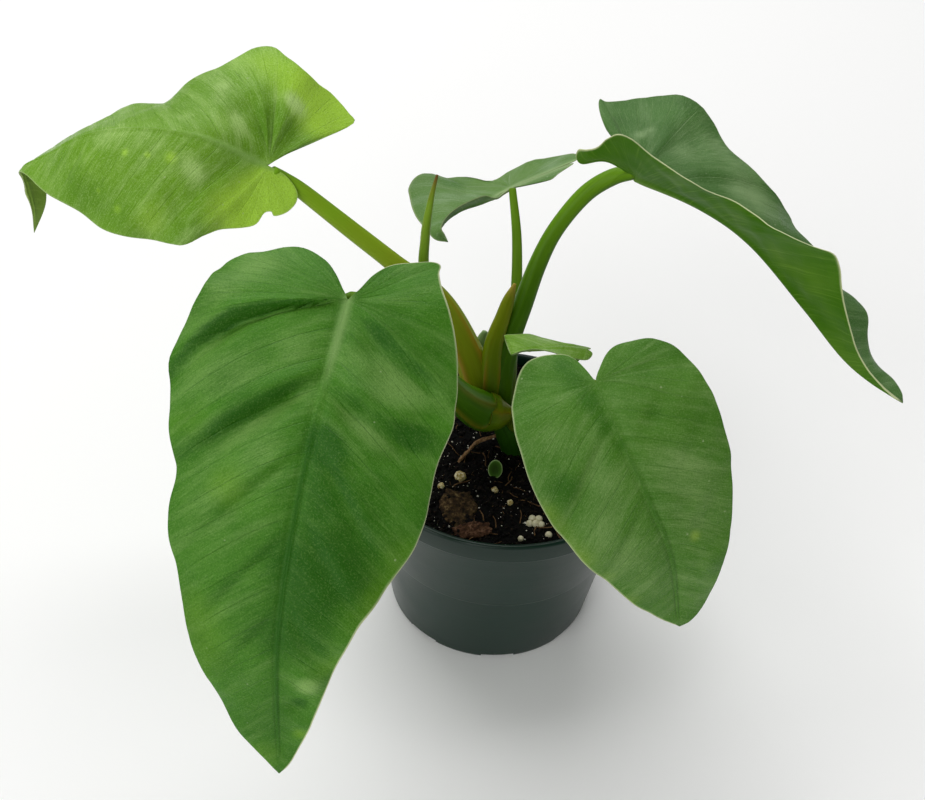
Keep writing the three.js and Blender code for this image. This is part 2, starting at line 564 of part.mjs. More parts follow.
Object.entries(STALKS).forEach(([name, stalk]) => {
  let solid = taperedTube(stalk);
  let grown = taperedTube(stalk, { grow: GAP });
  if (name === 'back_right') {
    solid = solid.add(taperedTube(SHEATH));
    grown = grown.add(taperedTube(SHEATH, { grow: GAP }));
  }
  const options = name === 'low' ? { fan: 7, stationCount: 6, rows: 3 } : {};
  const sheet = blade(LEAVES[name], options);
  const room = blade(LEAVES[name], { ...options, grow: 1.5 * GAP });
  const cut = clasped(solid).subtract(room).subtract(sheet);
  add(`stalk_${name}`, cut, 'stalk');
  const looks = { back_left: 'young_leaf', low: 'young_leaf', back_centre: 'dull_leaf' };
  add(`blade_${name}`, sheet, looks[name] ?? 'leaf');
  clearances.push(grown);
});

add('old_sheath', clasped(taperedTube(OLD_SHEATH)), 'dull_leaf');
clearances.push(taperedTube(OLD_SHEATH, { grow: GAP }));
add('rolled_shoot', clasped(taperedTube(SHOOT, { sides: 10 })), 'young_leaf');
add('surface_root', clasped(taperedTube(ROOT, { sides: 8, steps: 3 })), 'root');

// The pot and the soil, with the pieces that lie on it sunk into plain beds
add('pot', pot(), 'pot');
const beds = [clearances[0], taperedTube(ROOT, { sides: 8, steps: 3, grow: GAP })];
Object.entries(CHIPS).forEach(([name, piece]) => {
  add(name, beds.reduce((left, other) => left.subtract(other), chip(piece)), 'bark');
  beds.push(chip(piece, GAP));
});
const cluster = PRILLS.map((p) => grain(p, 1)).reduce((joined, other) => joined.add(other));
add('prill_cluster', cluster, 'grain');
beds.push(...PRILLS.map((p) => grain(p, 1, GAP)));
Object.entries(LOOSE_GRAINS).forEach(([name, piece]) => {
  const detail = name.startsWith('prill') ? 1 : 0;
  add(name, beds.reduce((left, other) => left.subtract(other), grain(piece, detail)), 'grain');
  beds.push(grain(piece, detail, GAP));
});
add('seedling', beds.reduce((left, other) => left.subtract(other), seedling()), 'young_leaf');
beds.push(seedling(GAP));
add('soil', beds.reduce((left, other) => left.subtract(other), soil()), 'soil');

export default group;
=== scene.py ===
"""A potted philodendron giganteum, dressed: waxed leaves on arching stalks, a moulded nursery
pot and peat with perlite, round the frame that the CAD part gives. Sizes are in millimetres."""
from functools import partial
import math

import bmesh
import bpy
import numpy as np
from mathutils import Matrix, Vector, noise


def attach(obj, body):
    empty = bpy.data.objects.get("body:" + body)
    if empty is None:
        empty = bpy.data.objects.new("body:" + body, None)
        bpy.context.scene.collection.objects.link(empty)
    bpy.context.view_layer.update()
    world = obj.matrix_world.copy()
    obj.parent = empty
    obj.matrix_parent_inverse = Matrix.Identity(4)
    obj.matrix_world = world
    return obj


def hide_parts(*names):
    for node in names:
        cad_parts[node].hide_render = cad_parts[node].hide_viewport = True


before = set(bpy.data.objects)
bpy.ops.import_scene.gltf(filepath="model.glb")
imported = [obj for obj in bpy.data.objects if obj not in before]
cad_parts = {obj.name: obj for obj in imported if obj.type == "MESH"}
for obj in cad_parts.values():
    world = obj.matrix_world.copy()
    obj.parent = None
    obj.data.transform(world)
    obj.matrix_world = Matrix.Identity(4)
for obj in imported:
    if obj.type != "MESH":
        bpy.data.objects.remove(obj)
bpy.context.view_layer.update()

bl_info = {
    "name": "Potted philodendron",
    "version": (1, 0, 0),
    "blender": (4, 5, 0),
    "location": "View3D > Sidebar > Plant",
    "description": "Builds a potted philodendron piece by piece round its CAD frame",
    "category": "Add Mesh",
}

MM = 0.001
CURVE_STEPS = 40        # steps of a blade's curves between two of their points
TUBE_STEPS = 60         # the same in a stalk's route
CURL_OVER = 60          # a half's curl is its turn over so many mm
FLAT_BY_RIB = 4         # within so many mm of the midrib the upper face turns with it
LAST_VEIN = 0.985       # where the last side vein starts, as a share of the midrib
VEIN_LEAN = 0.7         # how far a side vein leans to the tip for each step across
VEIN_GAP = 13           # mm between side veins
WAVE_FADE = 20          # where a half is narrower than this, its edge waves less
RIM_THIN = 0.45         # how much thinner a blade is at its edge
KEEL, KEEL_WIDTH, KEEL_TAPER = 1.1, 2.2, 0.7     # the midrib below: depth, width, loss by the tip
FAR_INSIDE = 30         # a distance to the edge that reads as none near
DOME = 0.35             # how far a stalk's end bulges, in radii
SOIL_TOP = 103          # the height from which the soil's mounds rise and fall
BALL_STEPS = 4          # how finely the grains and the seedling are divided
MAP_UNIT = 100          # mm to one unit of a piece's flat map
LOBE_MAP, HALF_MAP = 75, 400    # where the lobe's veins and the right half lie in that map
CRISP = 35              # degrees from which an edge of the pot stays crisp

# Each leaf: a midrib curve whose second point is where the stalk joins, the way its upper face
# looks along that curve, how far each half lifts (left, right, in degrees), the edge of each
# half as [along the midrib, across it], the curl of each half in degrees over 60 mm, and the
# waves of the edge (height, length, phase).
LEAVES = {
    "front_left": {
        "spine": [[-69, -52, 259], [-70, -80, 251], [-77, -118, 227], [-82, -155, 202],
            [-86, -183, 160], [-86, -196, 97]],
        "face": [[0.05, -0.75, 0.65], [0.05, -0.75, 0.65]],
        "lift": [[6, 6], [6, 6], [2, 2], [0, 0], [0, 0], [0, 0]],
        "left": [[-1.5, 1], [-6, 4.5], [-12, 8], [-18, 14], [-22, 22], [-26, 31], [-25, 35],
            [-18, 34.5], [-10, 37], [3, 45], [11, 49], [23, 52], [36, 53.5], [50, 52.5], [64, 52],
            [80, 50], [96, 47.5], [108, 42], [118, 37], [130, 30], [146, 24.5], [158, 20.5],
            [172, 15.5], [187, 10.5], [200, 5], [206.5, 0]],
        "right": [[-1.5, 1], [-5, 3.6], [-11, 7], [-18, 12], [-23, 20], [-24, 29], [-22, 38],
            [-21.5, 46], [-17, 54], [-7, 56.5], [4, 57.5], [17, 61], [33, 65], [44, 63.5],
            [55, 59], [63, 57], [76, 52], [96, 49], [115, 44], [141, 34], [168, 23], [184, 15],
            [200, 4.5], [206.5, 0]],
        "curl": [-30, -30],
        "wave": (1.4, 46, 0.6),
    },
    "front_right": {
        "spine": [[20, -54, 217], [33, -76, 214], [44, -94, 201], [58, -108, 180], [72, -116, 152],
            [82, -116, 109]],
        "face": [[0.05, -0.75, 0.65], [0.05, -0.75, 0.65]],
        "lift": [[4, 4], [4, 4], [2, 2], [0, 0], [0, 0], [0, 0]],
        "left": [[-1.5, 0.8], [-4.2, 4], [-8, 10], [-9, 16], [-7, 23.5], [-5, 29.5], [-2.5, 33.5],
            [0.5, 37], [4.5, 39.5], [10.5, 42], [18, 43], [29.5, 43.5], [41, 43], [51, 41],
            [64, 37], [72, 34], [80.5, 30.5], [88, 26.5], [96, 22], [107, 18], [119, 13.5],
            [126, 8.5], [130, 3.5], [130.6, 0]],
        "right": [[-1.5, 0.2], [-7, 0.5], [-15, 1.2], [-21, 4], [-25.5, 10.5], [-27.5, 17.5],
            [-25.5, 23.5], [-21, 29], [-15.5, 34], [-9, 37], [6.5, 40], [17.5, 41], [26.5, 42],
            [38, 42], [50.5, 41], [59, 38.5], [68.5, 36], [81, 32], [95, 27], [108, 19.5],
            [116.5, 13], [124, 7], [130.6, 0]],
        "curl": [-20, -20],
        "wave": (0.8, 38, 2.1),
    },
    "back_left": {
        "spine": [[-97, 38, 231], [-121, 32, 244], [-147, 24, 261], [-176, 22, 265],
            [-204, 27, 257], [-226, 32, 242.5], [-240, 34, 233], [-240, 35, 221], [-240, 37, 208],
            [-243, 40, 192]],
        "face": [[0, -0.3, 0.95], [0, -0.3, 0.95], [0, -0.3, 0.95], [0, -0.3, 0.95],
            [-0.15, -0.25, 0.95], [-0.45, -0.2, 0.85], [-0.85, 0.05, 0.45], [-0.7, 0.6, 0],
            [-0.5, 0.8, -0.2], [-0.5, 0.8, -0.2]],
        "lift": [[-18, 28], [-20, 30], [-22, 0], [-22, -20.5], [-18, -19.5], [-10, -24], [0, -22],
            [0, 0], [0, 0], [0, 0]],
        "left": [[-1.5, 0.5], [-8, 1], [-13, 3.5], [-17, 7.5], [-17.5, 13], [-14, 19], [-9, 22.5],
            [-7, 21], [-4, 23], [-2, 29], [3, 33], [12, 38], [18, 43], [27, 50], [39, 51.5],
            [52, 51], [67, 50], [81, 46.5], [91, 40.5], [102, 33.5], [113, 25.5], [121, 17.5],
            [128, 10], [136, 3.5], [142, 1], [150, 1.5], [156, 1], [165, 0.5], [178, 0]],
        "right": [[-1.5, 1.7], [-7, 8], [-14, 14.5], [-22, 22], [-36, 36], [-32, 41], [-23, 47],
            [-14, 48.5], [-4, 51], [4, 55], [10, 61], [16, 61], [22, 55.5], [28, 51], [35, 48],
            [45, 44.5], [62, 37.5], [80, 33], [100, 32], [116, 26], [130, 17], [142, 11],
            [150, 10], [158, 7.5], [164, 5], [172, 2], [178, 0]],
        "curl": [-24, -12],
        "wave": (1.2, 40, 1.2),
    },
    "back_centre": {
        "spine": [[28, 112, 212], [-4, 100, 201], [-17, 90, 198], [-29, 80, 198], [-37, 70, 197],
            [-40, 62, 195], [-35, 60, 190]],
        "face": [[0, 0.1, 1], [0, 0, 1], [-0.1, -0.1, 1], [-0.2, -0.2, 0.9], [-0.4, -0.3, 0.8],
            [-0.5, -0.3, 0.7], [-0.5, -0.3, 0.6]],
        "lift": [[-12, -8], [-6, -14], [44, -6], [54, 0], [50, 0], [40, 0], [20, 0]],
        "left": [[-1.5, 0.15], [-12, 0.15], [-24, 0.15], [-34, 0.3], [-36.5, 1], [-33, 2.2],
            [-26.8, 4.1], [-21.8, 6.1], [-17.7, 4.9], [-11.6, 2.4], [-7, 1.4], [-2.5, 1], [2, 0.9],
            [7, 1.6], [13, 4.5], [20, 9.5], [27, 12], [34, 11], [43, 7], [51, 4], [57, 2],
             [62, 0]],
        "right": [[-1.5, 0.15], [-14, 0.15], [-30, 0.2], [-39, 0.6], [-42, 4], [-41, 9],
            [-39.5, 12], [-33, 19], [-25, 24.5], [-14, 25], [-6, 24], [-1, 19], [3, 17.5], [6, 24],
            [8, 33], [14, 38], [23, 39.5], [31, 39], [36.5, 36], [39.5, 31], [45.5, 20.5],
            [50, 12], [54, 6], [58, 3], [62, 0]],
        "curl": [5, 0],
        "wave": (0.8, 24, 0),
    },
    "back_right": {
        "spine": [[28, 60, 242], [54, 44, 243], [83, 26, 241], [106, 8, 234], [131, -14, 216],
            [153, -30, 198], [179, -39, 184]],
        "face": [[-0.1, 0.5, 0.86], [-0.1, 0.5, 0.86], [0.1, 0.5, 0.86], [0.3, 0.5, 0.8],
            [0.5, 0.4, 0.7], [0.65, 0.35, 0.6], [0.7, 0.3, 0.5]],
        "lift": [[42, 24], [38, 24], [32, 18], [30, 16], [38, 24], [42, 24], [30, 20]],
        "left": [[-1.5, 1.5], [-12, 11], [-26, 23], [-32, 27], [-39, 34], [-43.5, 40], [-45, 44.3],
            [-42, 44.6], [-38.7, 47.3], [-32.6, 55.3], [-27.8, 60.5], [-21.8, 65.8], [-13.9, 69.7],
            [-4, 70.5], [7.5, 69.5], [15, 64], [23, 58], [33, 53], [42, 50], [52, 55.5], [61, 57],
            [70, 48.5], [82, 44], [95, 41.5], [105, 40], [114, 41], [124, 38.5], [131.5, 34],
            [137.5, 26], [151, 16], [160, 12.5], [165, 6], [164.5, 0]],
        "right": [[-1.5, 1.2], [-4, 4.6], [-6.5, 9], [-9.5, 13.8], [-14, 20.5], [-17.5, 25.7],
            [-19.8, 29.8], [-18.5, 32.8], [-14.5, 33.8], [-10, 34.5], [-6, 40], [-1, 45.5],
            [4, 44], [14, 35], [32, 32.5], [48, 28.5], [63, 31], [76, 39], [84, 42], [91, 45.5],
            [97, 40], [107, 29.5], [117.5, 22.5], [129, 12.5], [140, 6.5], [152, 3], [164.5, 0]],
        "curl": [-12, 8],
        "wave": (1.6, 44, 0.4),
        "hang": ("right", -18, 27, 8, [-3, 0, -9]),
    },
    "low": {
        "spine": [[46, 2, 171], [36.4, -2, 174.2], [24, -7, 178.6], [11.9, -13, 181],
            [3.4, -18, 183], [-0.7, -20, 181.2]],
        "face": [[0, 0, 1], [0, 0, 1], [0, 0, 1], [0, 0, 1], [-0.2, 0, 0.9], [-0.5, 0, 0.7]],
        "lift": [[-20, -18], [-16, -18], [-4, -14], [26, -10], [34, 0], [10, 0]],
        "left": [[-1, 0.6], [-2.6, 2.1], [-1.6, 4.2], [1.3, 6.7], [4.5, 7.6], [9.9, 8],
            [17.6, 9.4], [34, 1.5], [39, 1], [42.8, 0]],
        "right": [[-1, 0.6], [-3, 1], [-3.8, 2.5], [-1.5, 4.2], [2.5, 4.8], [9.8, 5.4],
            [15.4, 9.7], [22, 15.3], [29.9, 16.4], [37.5, 15.4], [41, 14.5], [42, 8], [42.8, 0]],
        "curl": [0, 0],
        "wave": (0.4, 20, 0),
    },
}

# How fine each blade is: fan lines in each lobe, stations along the midrib, rows across a half
FINENESS = {
    "front_left": (56, 120, 34),
    "front_right": (44, 90, 30),
    "back_left": (52, 110, 32),
    "back_centre": (36, 50, 18),
    "back_right": (48, 104, 32),
    "low": (18, 34, 14),
}

# Furrows and folds of each half: where the line starts on the midrib (a share of its length,
# less than nothing in the lobe), how far it drifts by the edge and sags halfway, its width and
# depth, and where along the line it fades in and out. A furrow widens outwards. It is steep
# towards the lobe and has a crest there.
FOLDS = {
    "front_left": {
        "left": [(0.025, -0.06, 0.03, 0.040, 2.6, 0.08, 1.0),
                 (0.185, -0.10, 0.03, 0.042, 3.6, 0.04, 0.95),
                 (0.285, 0.13, 0, 0.025, 1.1, 0.04, 0.8),
                 (0.43, 0.10, 0, 0.03, 0.9, 0.06, 0.9), (0.60, 0.08, 0, 0.03, 0.8, 0.1, 0.9)],
        "right": [(0.01, 0.005, -0.095, 0.040, 4.6, 0.04, 1.0),
                  (0.165, 0.035, 0.01, 0.034, 3.6, 0.02, 0.95),
                  (-0.6, 0, 0, 0.12, 0.8, 0.2, 0.9), (0.31, 0.10, 0, 0.028, 1.2, 0.04, 0.8),
                  (0.47, 0.10, 0, 0.03, 0.9, 0.06, 0.9), (0.62, 0.08, 0, 0.03, 0.8, 0.1, 0.9)],
    },
    "front_right": {
        "left": [(-0.25, 0, 0, 0.10, 0.3, 0.2, 0.9), (0.20, 0.05, 0, 0.04, 0.7, 0.1, 0.9),
                 (0.45, 0.05, 0, 0.04, 0.6, 0.1, 0.9)],
        "right": [(-0.25, 0, 0, 0.10, 0.3, 0.2, 0.9), (0.15, 0.05, 0, 0.04, 0.9, 0.1, 0.9),
                  (0.42, 0.05, 0, 0.04, 0.7, 0.1, 0.9)],
    },
    "back_left": {
        "left": [(0.08, 0, 0, 0.04, 0.9, 0.1, 0.9), (0.26, 0, 0, 0.05, 0.9, 0.2, 0.9),
                 (0.50, 0, 0, 0.05, 0.7, 0.2, 0.9)],
        "right": [(-0.62, 0, 0, 0.09, 1.2, 0.2, 0.8), (-0.32, 0.03, 0, 0.09, 1.7, 0.15, 0.75),
                  (-0.06, 0.02, 0, 0.06, 1.6, 0.15, 0.75), (0.14, 0, 0, 0.05, 1.2, 0.2, 0.9)],
    },
    "back_centre": {
        "left": [(0.10, 0, 0, 0.08, 0.5, 0.2, 0.9)],
        "right": [(-0.6, 0, 0, 0.08, 0.8, 0.2, 0.9), (-0.25, 0, 0, 0.08, 0.8, 0.2, 0.9),
                  (0.15, 0, 0, 0.06, 0.8, 0.2, 0.9), (0.38, 0, 0, 0.06, 0.6, 0.2, 0.9)],
    },
    "back_right": {
        "left": [(-0.6, 0, 0, 0.08, 0.8, 0.2, 0.9), (-0.2, 0, 0, 0.07, 1.0, 0.2, 0.9),
                 (0.10, 0, 0, 0.05, 0.8, 0.2, 0.9), (0.30, 0, 0, 0.05, 0.8, 0.2, 0.9)],
        "right": [(-0.4, 0, 0, 0.06, 1.2, 0.2, 0.9), (0.12, 0, 0, 0.05, 1.3, 0.2, 0.9),
                  (0.32, 0, 0, 0.05, 1.2, 0.2, 0.9), (0.5, 0, 0, 0.05, 0.9, 0.2, 0.9)],
    },
    "low": {"left": [], "right": [(0.2, 0, 0, 0.08, 0.4, 0.2, 0.9)]},
}

# Single bulges and dents, as (along, across, radius, height). Here and in the two tables of
# marks, across is less than nothing on the left half.
BULGES = {
    "front_left": [
        (156, -14, 6.5, 1.7), (170, -8, 5, -1.5), (179, -9.5, 3.5, 0.6), (118, -10, 14, 0.8),
    ],
    "front_right": [(25, -16, 6, -0.9), (92, -14, 9, 0.5)],
    "back_left": [(60, -14, 9, 0.6), (30, -26, 10, 0.9)],
}

# How deep each blade's midrib lies below its halves, how wide that valley is, how pale the
# midrib is at its foot, how dark the painted shade in its groove is further on, and how
# pale the edges are (left, right)
MIDRIBS = {
    "front_left": (1.5, 9, 0.6, 0.75, 1.0, 0.0),
    "front_right": (1.3, 5, 0.05, 0.5, 0.0, 0.6),
    "back_left": (0.8, 7, 0.6, 0.05, 0.25, 0.1),
    "back_centre": (0.4, 4, 0.6, 0.1, 0.3, 0.3),
    "back_right": (0.5, 5, 0.5, 0.2, 0.2, 0.8),
    "low": (0.3, 3, 0.4, 0.1, 0.2, 0.4),
}

# Yellowed places of each blade, as (along, across, radius, strength)
YELLOWED = {
    "front_left": [
        (100, -44, 18, 0.4), (124, -34, 14, 0.45), (132, 34, 14, 0.4), (196, 6, 10, 0.4),
        (184, -9, 4, 0.6), (82, 28, 10, 0.5), (150, -22, 9, 0.35), (150, 26, 12, 0.3),
        (60, 50, 12, 0.3),
    ],
    "front_right": [
        (79, -12, 3, 0.7), (40, 42, 8, 0.35), (52, 40, 8, 0.3), (66, 37, 8, 0.4),
        (85, 30, 8, 0.4), (105, 21, 7, 0.4),
    ],
    "back_left": [
        (-8, -9, 12, 1.0), (-2, -19, 14, 0.9), (10, -30, 15, 0.8), (-22, 38, 18, 1.0),
        (-34, 38, 14, 0.9), (12, 54, 14, 0.4), (-6, 44, 14, 0.5), (68, -12, 2.2, 0.65),
        (57, -13, 1.6, 0.75), (46, -13, 3.4, 0.6), (82, -29, 1.4, 0.8), (71, -38, 2.2, 0.7),
        (53, -43, 12, 0.45),
    ],
    "back_centre": [],
    "back_right": [],
    "low": [(10, 10, 14, 0.3)],
}

# Painted highlights, pale and greyish (above nothing), and painted shade (below nothing) of each
# blade, likewise
PAINTED_SHEEN_AND_SHADE = {
    "front_left": [
        (22, -7, 8, 0.4), (33, -27, 16, 0.65), (52, -18, 10, 0.3), (58, -3, 8, -0.6),
        (61, -9, 10, -0.8), (60, 14, 9, 0.2), (158, -12, 5, 1.2), (43, 5, 6, 0.35),
        (-21, 30, 14, 0.2), (-11, 41, 12, 0.6), (7, 50, 10, 0.5), (38, 33, 11, 0.4),
        (24, 16, 9, 0.45), (45, 48, 10, 0.35), (70, 22, 14, 0.3), (72, 12, 9, 0.2),
        (92, 34, 14, 0.4), (-20, -22, 12, 0.3), (168, -9, 4, -0.9), (20, 42, 7, -0.3),
        (102, -19, 16, -0.8), (105, 4, 10, -0.5), (137, 4, 12, -0.5), (46, -40, 9, -0.5),
        (80, -9, 11, -0.5), (122, -12, 16, -0.7), (122, 20, 11, -0.3), (12, -14, 8, -0.3),
        (20, -34, 8, -0.3), (70, -34, 12, -0.4), (142, -12, 10, -0.4),
    ],
    "front_right": [
        (75, 21, 16, 0.5), (40, 14, 11, 0.45), (72, -18, 16, 0.45), (42, -14, 13, 0.4),
        (100, -8, 8, 0.4), (16, 26, 10, 0.4), (100, 12, 12, 0.35), (51, -26, 12, 0.3),
        (56, 24, 10, 0.3), (-16, 7, 6, -0.7), (-5, 7, 7, -0.7), (8, 6, 6, -0.8), (19, 4, 5, -0.8),
        (29, 1.5, 4, -0.7), (34, 30, 8, -0.9), (22, -17, 5, -0.5), (97, -18, 9, -0.7),
        (2, -36, 9, -0.4),
    ],
    "back_left": [
        (33, -18, 7, 0.6), (40, -13, 6, 0.4), (0, 35, 5, 0.7), (-5, 33, 5, 0.5), (-9, 31, 5, 0.4),
        (20, 16, 5, 0.6), (16, 10, 4, 0.5), (44, 11, 6, 0.4), (31, 23, 5, 0.6), (28, 34, 6, 0.5),
        (81, -5, 9, 0.4), (56, -6, 8, 0.3), (71, -2, 8, 0.3), (14, -36, 8, 0.3),
        (86, -33, 14, -0.6), (71, -40, 9, -0.3), (106, -9, 12, -0.4), (7, 14, 5, -0.6),
        (8, 24, 5, -0.4), (100, -24, 12, -0.4),
    ],
    "back_centre": [(19, 9, 6, 0.4), (34, 14, 8, 0.4), (-25, 6, 8, 0.5), (19, 26, 8, -0.6)],
    "back_right": [
        (42, -36, 16, 0.8), (16, -54, 10, 0.5), (9, -32, 10, 0.5), (-14, -30, 4, 0.8),
        (-12, -36, 3, 0.6), (66, -24, 12, 0.5), (-27, -35, 8, -0.4), (90, -26, 12, -0.5),
        (-7, -66, 8, -0.4), (30, -12, 8, -0.3), (-6, -12, 1.2, -2.0),
    ],
    "low": [(20, 8, 8, 0.3)],
}

# Leaf stalks, from the crown outwards: the route and the radius at each of its points
STALKS = {
    "front_left": (
        [[3.5, -8.5, 135.5], [-4, -9.5, 135.5], [-13.5, -11, 138.5], [-26, -24, 160],
         [-43, -42, 197],
         [-57, -57, 225], [-68.5, -73.5, 245], [-70, -78.5, 246.4]],
        [2.6, 8.4, 10, 6.9, 5.3, 4.7, 4.2, 2.4]),
    "back_left": (
        [[-7, 3, 122], [-14, 5, 140], [-22, 10, 160], [-37, 18, 183], [-60, 24, 199],
         [-80.2, 29.7, 211.9], [-104.6, 34.4, 229], [-114, 35.2, 235.4], [-119, 32.5, 240.5]],
        [8, 8.2, 7.6, 6, 4.7, 4.4, 3.9, 3.3, 2.8]),
    "back_right": (
        [[-3, 4, 122], [-4.3, 6, 142], [-1, 12, 164], [4.6, 20, 183], [10.3, 29, 201],
         [17.7, 36, 217], [30, 43, 233], [42, 45, 242.5], [52, 45, 246]],
        [8, 7.4, 5.7, 5, 4.5, 4.1, 4.2, 4.1, 3.4]),
    "front_right": (
        [[7, -3, 124], [13, -13, 150], [20, -34, 174], [28, -60, 200], [33, -75, 211]],
        [6, 5, 4.2, 3.6, 2.6]),
    "back_centre": (
        [[1.5, 14, 122], [1.3, 30, 147], [2.3, 55, 165], [1, 80, 183], [-3, 99.5, 200.8]],
        [4.5, 3.6, 3, 2.6, 2]),
    "low": (
        [[9, -1, 124], [18, -1, 144], [28, -1, 161], [36, -1.5, 172.5]],
        [3.4, 2.4, 1.9, 1.4]),
}
# The stalks that clasp the stem with two thin edges and how red those are, and how far round
# from the stalk's top they lie
CLASPING = {"front_left": 0.3, "back_left": 0.9, "back_right": 0.0, "sheath": 0.9}
CLASP_AT = 0.75
SHEATH = ([[-8, 1, 132], [-9, 4, 150], [-8.5, 8, 166], [-5, 13, 179], [-2.8, 15.3, 188],
           [-0.5, 17, 196.5]], [5.5, 5.5, 4.7, 3.7, 2.9, 0.8])
CROWN_STEM = ([[6.4, 1, 84], [6.4, 1, 103], [4, 1, 114], [-2, 2, 127]], [7, 7, 8, 6.5])
SHOOT = ([[-20.5, 18, 150], [-34.5, 26.5, 172], [-45, 30, 190], [-45.5, 30, 212],
          [-43.5, 30, 232], [-41, 30, 246]], [3.1, 3.1, 2.8, 2.3, 1.5, 0.6])
OLD_SHEATH = ([[-9, 12, 126], [-13, 18, 146], [-14.5, 21, 156], [-13, 23, 162]],
              [4.5, 4.2, 3, 1.4])
ROOT = ([[-3, -1, 113], [-12.2, -1.5, 108.4], [-16.8, -6, 106], [-21.5, -12, 103.4],
         [-23.2, -15.5, 100]], [1, 1, 0.9, 0.85, 0.7])

# The pot's wall, from the middle of its base up the outside, over the rim and down the inside
POT_WALL = [
    (0, 0), (54.6, 0), (56.2, 0.7), (56.6, 2.4), (64.4, 53), (65, 54), (73.8, 96.9), (75, 97.5),
    (75.6, 98.5), (76, 107.6), (75.3, 108.7), (74.5, 109), (73, 108.4), (72.5, 106.6),
    (72.2, 97.5), (63.4, 54), (62.8, 53), (55, 6.4), (52, 5), (0, 5),
]
CORNER = 0.35           # the most that a corner of it is eased
# The side of the soil, from its top to its base
SOIL_WALL = [(71.6, 97.5), (62.9, 54.4), (62.3, 53), (54.5, 8.4), (50.5, 5.4)]
CHIPS = {
    "bark_chip_long": {
        "outline": [[-9, 11], [3, 12], [9, 4], [7, -6], [2, -13], [-6, -8], [-11, 1]],
        "at": [-20, -47, 103.4], "turn": -8, "tip": [4, 3], "thickness": 2.6,
    },
    "bark_chip_flat": {
        "outline": [[-9, 3], [0, 5], [9, 3], [10, -3], [3, -5], [-8, -4]],
        "at": [-13.5, -61.2, 104.2], "turn": 14, "tip": [6, -2], "thickness": 1.8,
    },
}
PRILLS = [(16.2, -50.8, 1.9), (19.4, -51, 1.9), (18, -54.2, 2), (14.8, -54, 1.8),
          (20.6, -54.6, 1.7)]
LOOSE_GRAINS = {
    "prill_near_rim": (24.2, -60.7, 1.8),
    "prill_front": (10.6, -63.9, 1.5),
    "perlite_by_root": (-20.6, -24.5, 3),
    "perlite_left": (-30, -32.5, 1.8),
    "perlite_middle": (-2.7, -31.8, 1.7),
    "perlite_right": (5.2, -40.3, 1.6),
}
SEEDLING = {"at": [-3.0, -19.6, 106.6], "size": [3.7, 1.1, 5.2], "tip": -20}

# The photograph's camera, and its lamps: name, place, target, width in metres, share of the power
CAMERA = {"at": (-22.1, -465.3, 530.4), "ahead": (0, 0.762, -0.648),
          "right": (0.9977, 0.0436, 0.0513), "focal_pixels": 1200, "photo_width": 925}
LAMPS = [("overhead", (-534, 1647, 2937), (-50, -50, 150), 3.3, 1.0),
         ("front_left", (-1300, -2000, 1500), (0, -50, 150), 2.0, 0.42)]
SKY = 0.25              # strength of the even light from all round
FLOOR_HALF = 9000       # half the floor's width


# Colour and material helpers

# The kinds of node that recur: type, the inputs in the order they are given in, the output that
# is wanted and the settings. Any other kind is given by its type.
NODES = {
    "mix": ("ShaderNodeMix", (0, 6, 7), 2, {"data_type": "RGBA"}),
    "step": ("ShaderNodeMapRange", range(5), 0, {"interpolation_type": "SMOOTHSTEP"}),
    "noise": ("ShaderNodeTexNoise", ("Vector", "Scale", "Detail", "Roughness"), 0, {}),
    "stretch": ("ShaderNodeMapping", ("Vector", "Scale"), 0, {}),
    "attribute": ("ShaderNodeAttribute", (), "Fac", {}),
    "vector": ("ShaderNodeCombineXYZ", "XYZ", 0, {}),
    "bump": ("ShaderNodeBump", ("Height", "Strength", "Distance"), 0, {}),
}
for sum_kind in ("ADD", "SUBTRACT", "MULTIPLY", "DIVIDE", "MULTIPLY_ADD", "PINGPONG", "POWER"):
    NODES[sum_kind] = ("ShaderNodeMath", range(3), 0, {"operation": sum_kind})


def linear(hex_text):
    """Turns an sRGB hex colour into the linear values that a shader takes."""
    values = [int(hex_text[i:i + 2], 16) / 255 for i in (1, 3, 5)]
    curve = [v / 12.92 if v <= 0.04045 else ((v + 0.055) / 1.055) ** 2.4 for v in values]
    return (*curve, 1.0)


def add(tree, kind, *values, out=None, stops=(), **settings):
    """Adds one node with its settings, its colour stops and its inputs, which are values or
    links, in order or in one dict by name. Returns the output that is wanted."""
    kind, order, usual_out, usual = NODES.get(kind, (kind, range(9), 0, {}))
    node = tree.nodes.new(kind)
    for name, value in {**usual, **settings}.items():
        setattr(node, name, value)
    by_name = values and isinstance(values[0], dict)
    for name, value in (values[0] if by_name else dict(zip(order, values))).items():
        if isinstance(value, bpy.types.NodeSocket):
            tree.links.new(value, node.inputs[name])
        else:
            node.inputs[name].default_value = value
    for _ in stops[2:]:             # a ramp starts with two
        node.color_ramp.elements.new(1.0)
    for element, (place, tone) in zip(node.color_ramp.elements if stops else (), stops):
        element.position, element.color = place, linear(tone)
    return node.outputs[usual_out if out is None else out] if node.outputs else None


def new_material(name):
    """An empty material, what adds its nodes, and the place where its patterns lie."""
    material = bpy.data.materials.new(name)
    material.use_nodes = True
    material.node_tree.nodes.clear()
    put = partial(add, material.node_tree)
    return material, put, put("ShaderNodeTexCoord", out="Object")


def coated(put, colour, coats):
    """Lays coats over a colour: each a tone and its share of the surface, or a value, the two
    limits between which it rises smoothly, its most and, if not nothing, its least."""
    for tone, share, *limits in coats:
        if limits:
            low, high, most, least = (*limits, 0.0)[:4]
            share = put("step", share, low, high, least, most)
        colour = put("mix", share, colour, linear(tone) if isinstance(tone, str) else tone)
    return colour


